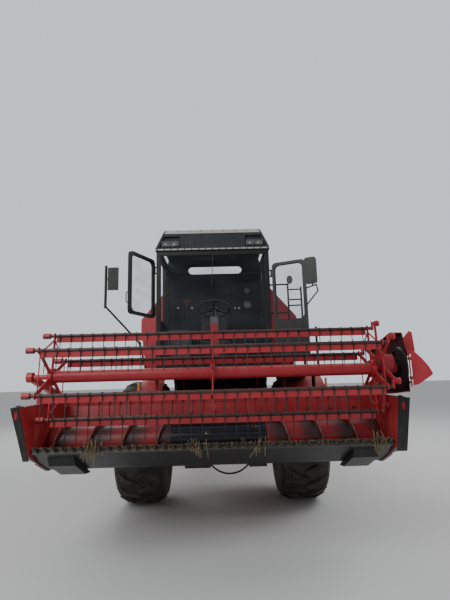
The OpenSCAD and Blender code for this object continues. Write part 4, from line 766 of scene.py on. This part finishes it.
def table(x, y, z):
    """A point of the raised table: across it, back from the knife, and up from its floor."""
    sway, lift = math.cos(header_tilt), math.sin(header_tilt)
    return machine(x + header_x, knife_y + y * sway + z * lift, knife_z - y * lift + z * sway)


def table_parts(look):
    # Painted shade: the downward faces below 1.1 m are painted near-black, standing in for the shadow under
    # the table as well as its dirt.
    shaded_underside = (1 - look.facing_up().over(-0.45, 0.2)) * (1 - look.along("Z").over(1.10, 0.05))
    inside = look.facing_up().over(0.55, 0.3) * look.noise(6, 4).over(0.46, 0.3)
    return [(shaded_underside, (0.0045, 0.0045, 0.005)), (inside * 0.6, (0.15, 0.06, 0.045))]


wear(enamel("table_enamel", (0.31, 0.010, 0.017), (0.37, 0.026, 0.034), dust=0.8, chips=0.7,
            inset=table_parts, sheen=0.22), "header_trough")
wear(enamel("knife_steel", (0.030, 0.026, 0.022), (0.060, 0.046, 0.034), dust=0.8, chips=0.9, gloss=0.5),
     "cutter_bar")
bolt = Piece()
bolt.turned([(0.0001, 0.0), (0.0135, 0.0), (0.0135, 0.0022), (0.0001, 0.0022)], Matrix(), 16)
bolt.turned([(0.0001, 0.002), (0.0100, 0.002), (0.0104, 0.004), (0.0104, 0.0082), (0.0088, 0.0096),
             (0.0001, 0.0098)], Matrix(), 6)
tip = -header_tilt
rows = [(table(x, 824, z), (math.pi / 2 + tip, 0, 0)) for z in (560, 668) for x in range(-1500, 1501, 250)]
for side_of in (-1, 1):
    rows += [(table(side_of * 1594, y, z), (0, side_of * math.pi / 2, 0)) for y, z in
             ((380, 20), (500, 16), (620, 40), (400, 420), (560, 520), (700, 640), (820, 640), (820, 480))]
planted("table_bolts", bolt.data("bolt_head", worn_steel, angle=0.5), rows, worn_steel, "header")
guards, guard_pitch = 40, 76.2
rows = [(table((i - (guards - 1) / 2) * guard_pitch, 4, 6), (tip, 0, 0)) for i in range(guards)]
small_bolt = Piece().turned([(0.0001, 0.0), (0.0075, 0.0), (0.0080, 0.0015), (0.0062, 0.0052),
                             (0.0001, 0.0062)], Matrix(), 10)
planted("knife_bolts", small_bolt.data("small_bolt", worn_steel), rows, worn_steel, "header")


# Auger: a rolled drum, banded red along the flights, and black and polished by the crop in the middle.
# Seven fingers stand in pressed guides on its middle, with an empty guide opposite each.
auger_y, auger_z, flight_end, flight_pitch = 559, 194, 1.565, 0.32
axis = table(0, auger_y, auger_z)
drum = Look("auger_paint", Specular_IOR_Level=0.5)
across = drum.along("X")
away = drum.vectors("MULTIPLY", drum.vectors("SUBTRACT", drum.place, axis), (0, 1, 1))
away = drum.vectors("LENGTH", away, out="Value")
flight, flight_edge = away.over(0.162, 0.004), away.over(0.199, 0.006)
centre = across.within(axis.x - 0.42, axis.x + 0.50)
rubbed = drum.noise(1.0, 4, 0.6, stretch=(3, 14, 14)).over(0.48, 0.3)
spun = across.maths("ARCTAN2", drum.along("Z") - axis.z, drum.along("Y") - axis.y)
spun = (spun + header_tilt) * (1 / math.tau)
banded, on_left = 0, (across - axis.x).over(0, 0.01)
for hand, half in ((-1, 1 - on_left), (1, on_left)):
    run = (across - (axis.x + hand * flight_end)) * (-hand / flight_pitch) + (spun - hand * 0.25)
    run = across.maths("FRACT", run)
    banded = (run + rubbed * 0.25).over(0.62, 0.42) * half + banded
paint = drum.mix(rubbed, (0.060, 0.014, 0.013), (0.026, 0.014, 0.014))
paint = drum.mix(banded * 0.9, paint, (0.32, 0.012, 0.018))
paint = drum.mix(centre, paint, (0.022, 0.024, 0.030))
paint = drum.mix(flight, paint, (0.34, 0.014, 0.020))
paint = drum.mix(flight * flight_edge, paint, (0.16, 0.13, 0.12))
paint = drum.mix(drum.noise(40, 5, 0.7).over(0.66, 0.04) * 0.6, paint, (0.10, 0.045, 0.025))
scored = drum.noise(1.0, 3, 0.5, stretch=(5, 90, 90))
drum.feed(scored * 0.6 + drum.noise(3, 2) * 2, 0.0012, Base_Color=paint, Metallic=centre * 0.6,
          Roughness=scored * 0.2 + rubbed * 0.1 + (1 - centre) * 0.16 + 0.08)
wear(drum.material, "auger")
guide = [(0.012, 0.0), (0.026, 0.0), (0.026, 0.003), (0.019, 0.006), (0.012, 0.0065)]
guides, drum_radius = Piece(), 0.1535
for i in range(7):
    for degrees in (i * 130, i * 130 + 180):
        out = Vector((0, -math.sin(math.radians(degrees)), math.cos(math.radians(degrees))))
        out = Matrix.Rotation(tip, 3, "X") @ out
        stand = frame_at(table(-290 + i * 112, auger_y, auger_z) + out * drum_radius, out)
        guides.turned(guide, stand, 14)
guides.fitted("finger_guides", worn_steel, "intake_auger", "bare_steel")


# Reel arms: red flat bars, and on the left end the folded shield of the reel drive.
# The shield's inner face is painted a dark maroon as painted shade.
def arm_parts(look):
    # Painted shade: the shield's inner face, where it does not face up and toward its front end, is painted
    # dark maroon.
    shaded_shield_face = look.along("X").within(1.5805, 1.5865) * (1 - look.facing_up().over(0.5, 0.1))
    return [(shaded_shield_face * (1 - look.along("Y").over(-2.24, 0.02)), (0.030, 0.011, 0.012))]


wear(enamel("arm_enamel", red_fresh, red_faded, dust=0.5, chips=0.7, inset=arm_parts), "reel_arms")


# Reel bats: a pipe in front of a red sheet, with spring wire tines that coil once round the pipe.
# Each bat hangs upright on its crank, and so do its tines.
bats, reel_y, reel_z, reel_radius, reel_start = 6, -2208, 1637, 374, math.radians(24.5)
tines, tine_pitch, coil_radius, coil_width, coil_steps = 29, 0.1, 0.0172, 0.0135, 20
wire = bright("tine_wire", (0.060, 0.056, 0.054), 0.6)
path = [Vector((coil_width * (t / coil_steps - 0.5), coil_radius * math.cos(math.tau * t / 9),
                coil_radius * math.sin(math.tau * t / 9))) for t in range(coil_steps + 1)]
foot = path[0] + Vector((0, 0.004, -0.02))
tail = [Vector((0.007, -0.019, -0.012)), Vector((0.002, -0.007, -0.05))]
tine_coil = Piece().bent([foot] + path + tail, 0.0032, 5).data("tine_coil", wire)


def bat_parts(look, hub):
    x, y, z = look.along("X"), look.along("Y") - hub.y, look.along("Z") - hub.z
    tine = (1 - z.over(-0.066, 0.002)).most((1 - y.over(-0.0035, 0.001)) * (1 - z.over(-0.0125, 0.001)))
    pipe = z.over(-0.0155, 0.001) * x.within(hub.x - 1.49, hub.x + 1.486)
    return [(pipe, (0.050, 0.016, 0.016)), (tine, (0.030, 0.026, 0.024))]


for i in range(bats):
    angle = reel_start + math.tau * i / bats
    hub = machine(header_x, reel_y + reel_radius * math.cos(angle), reel_z + reel_radius * math.sin(angle))
    wear(enamel(f"bat_paint_{i + 1}", (0.32, 0.011, 0.019), (0.39, 0.028, 0.038), dust=0.35, chips=0.7,
                inset=lambda look: bat_parts(look, hub)), f"bat_{i + 1}")
    spots = [(hub + Vector(((k - tines // 2) * tine_pitch, 0, 0)), (0, 0, 0)) for k in range(tines)
             if k != tines // 2]
    planted(f"tine_coils_{i + 1}", tine_coil, spots, wire, f"tine_bat_{i + 1}", seed=i)


# Chopped straw: short dry stalks, caught on the knife, in the trough and on the platform.
# They lie on what carries them, and some hang in tufts from the knife.
straw = Look("dry_straw", Specular_IOR_Level=0.3)
tone = straw.mix(straw.noise(9, 4).over(0.5, 0.4), (0.24, 0.18, 0.09), (0.115, 0.088, 0.052))
straw.feed(straw.noise(1.0, 3, 0.5, stretch=(300, 40, 300)), 0.0005, Base_Color=tone,
           Roughness=straw.noise(20, 2) * 0.2 + 0.65)
stalk = Piece().bent([(-0.040, 0, 0.0), (-0.012, 0.0015, 0.0012), (0.016, -0.001, 0.0015),
                      (0.040, 0.002, 0.0)], 0.0016, 5).data("stalk", straw.material)
chance, any_way = random.Random(7), 3.1


def strewn(name, spots, body, swing, sizes, seed):
    planted(name, stalk, spots, straw.material, body, swing, sizes, seed)


spots = []
for _ in range(620):
    x, y = chance.uniform(-1505, 1505), chance.gauss(-8, 16)
    y = min(30, max(-62, y))
    z = 8 + chance.uniform(0, 9) if y > -24 else chance.uniform(6, 10)
    spots.append((table(x, y, z), (tip, 0, chance.uniform(0, any_way))))
for _ in range(520):
    x, y = chance.uniform(-1540, 1540), chance.choice((chance.uniform(30, 420), chance.uniform(560, 640)))
    spots.append((table(x, y, -6 - 0.02 * y if y < 430 else -15), (tip, 0, chance.uniform(0, any_way))))
strewn("straw_on_table", spots, "header", (0.16, 0.2, 0.4), (0.25, 0.8), 3)
spots = [(table(chance.uniform(-1480, 1480), chance.uniform(-70, -20), chance.uniform(-16, -2)),
          (0, 1.2, chance.uniform(0, 2 * any_way))) for _ in range(110)]
strewn("straw_on_guards", spots, "header", (0.5, 0.5, 0.5), (0.3, 0.8), 5)
tufts = ((-1020, 16), (-130, 14), (350, 7), (1390, 12))
spots = [(table(middle + chance.gauss(0, 38), chance.uniform(-50, -10), chance.uniform(-45, 4)),
          (0.2, 1.35, chance.uniform(0, 2 * any_way))) for middle, count in tufts for _ in range(count)]
strewn("straw_tufts", spots, "header", (0.5, 0.45, 0.5), (0.9, 2.4), 11)
spots = [(machine(chance.uniform(-840, 1130), chance.uniform(-1285, -480), 1641),
          (0, 0, chance.uniform(0, any_way))) for _ in range(220)]
strewn("straw_on_deck", spots, "chassis", (0, 0.03, 0), (0.4, 1.1), 9)
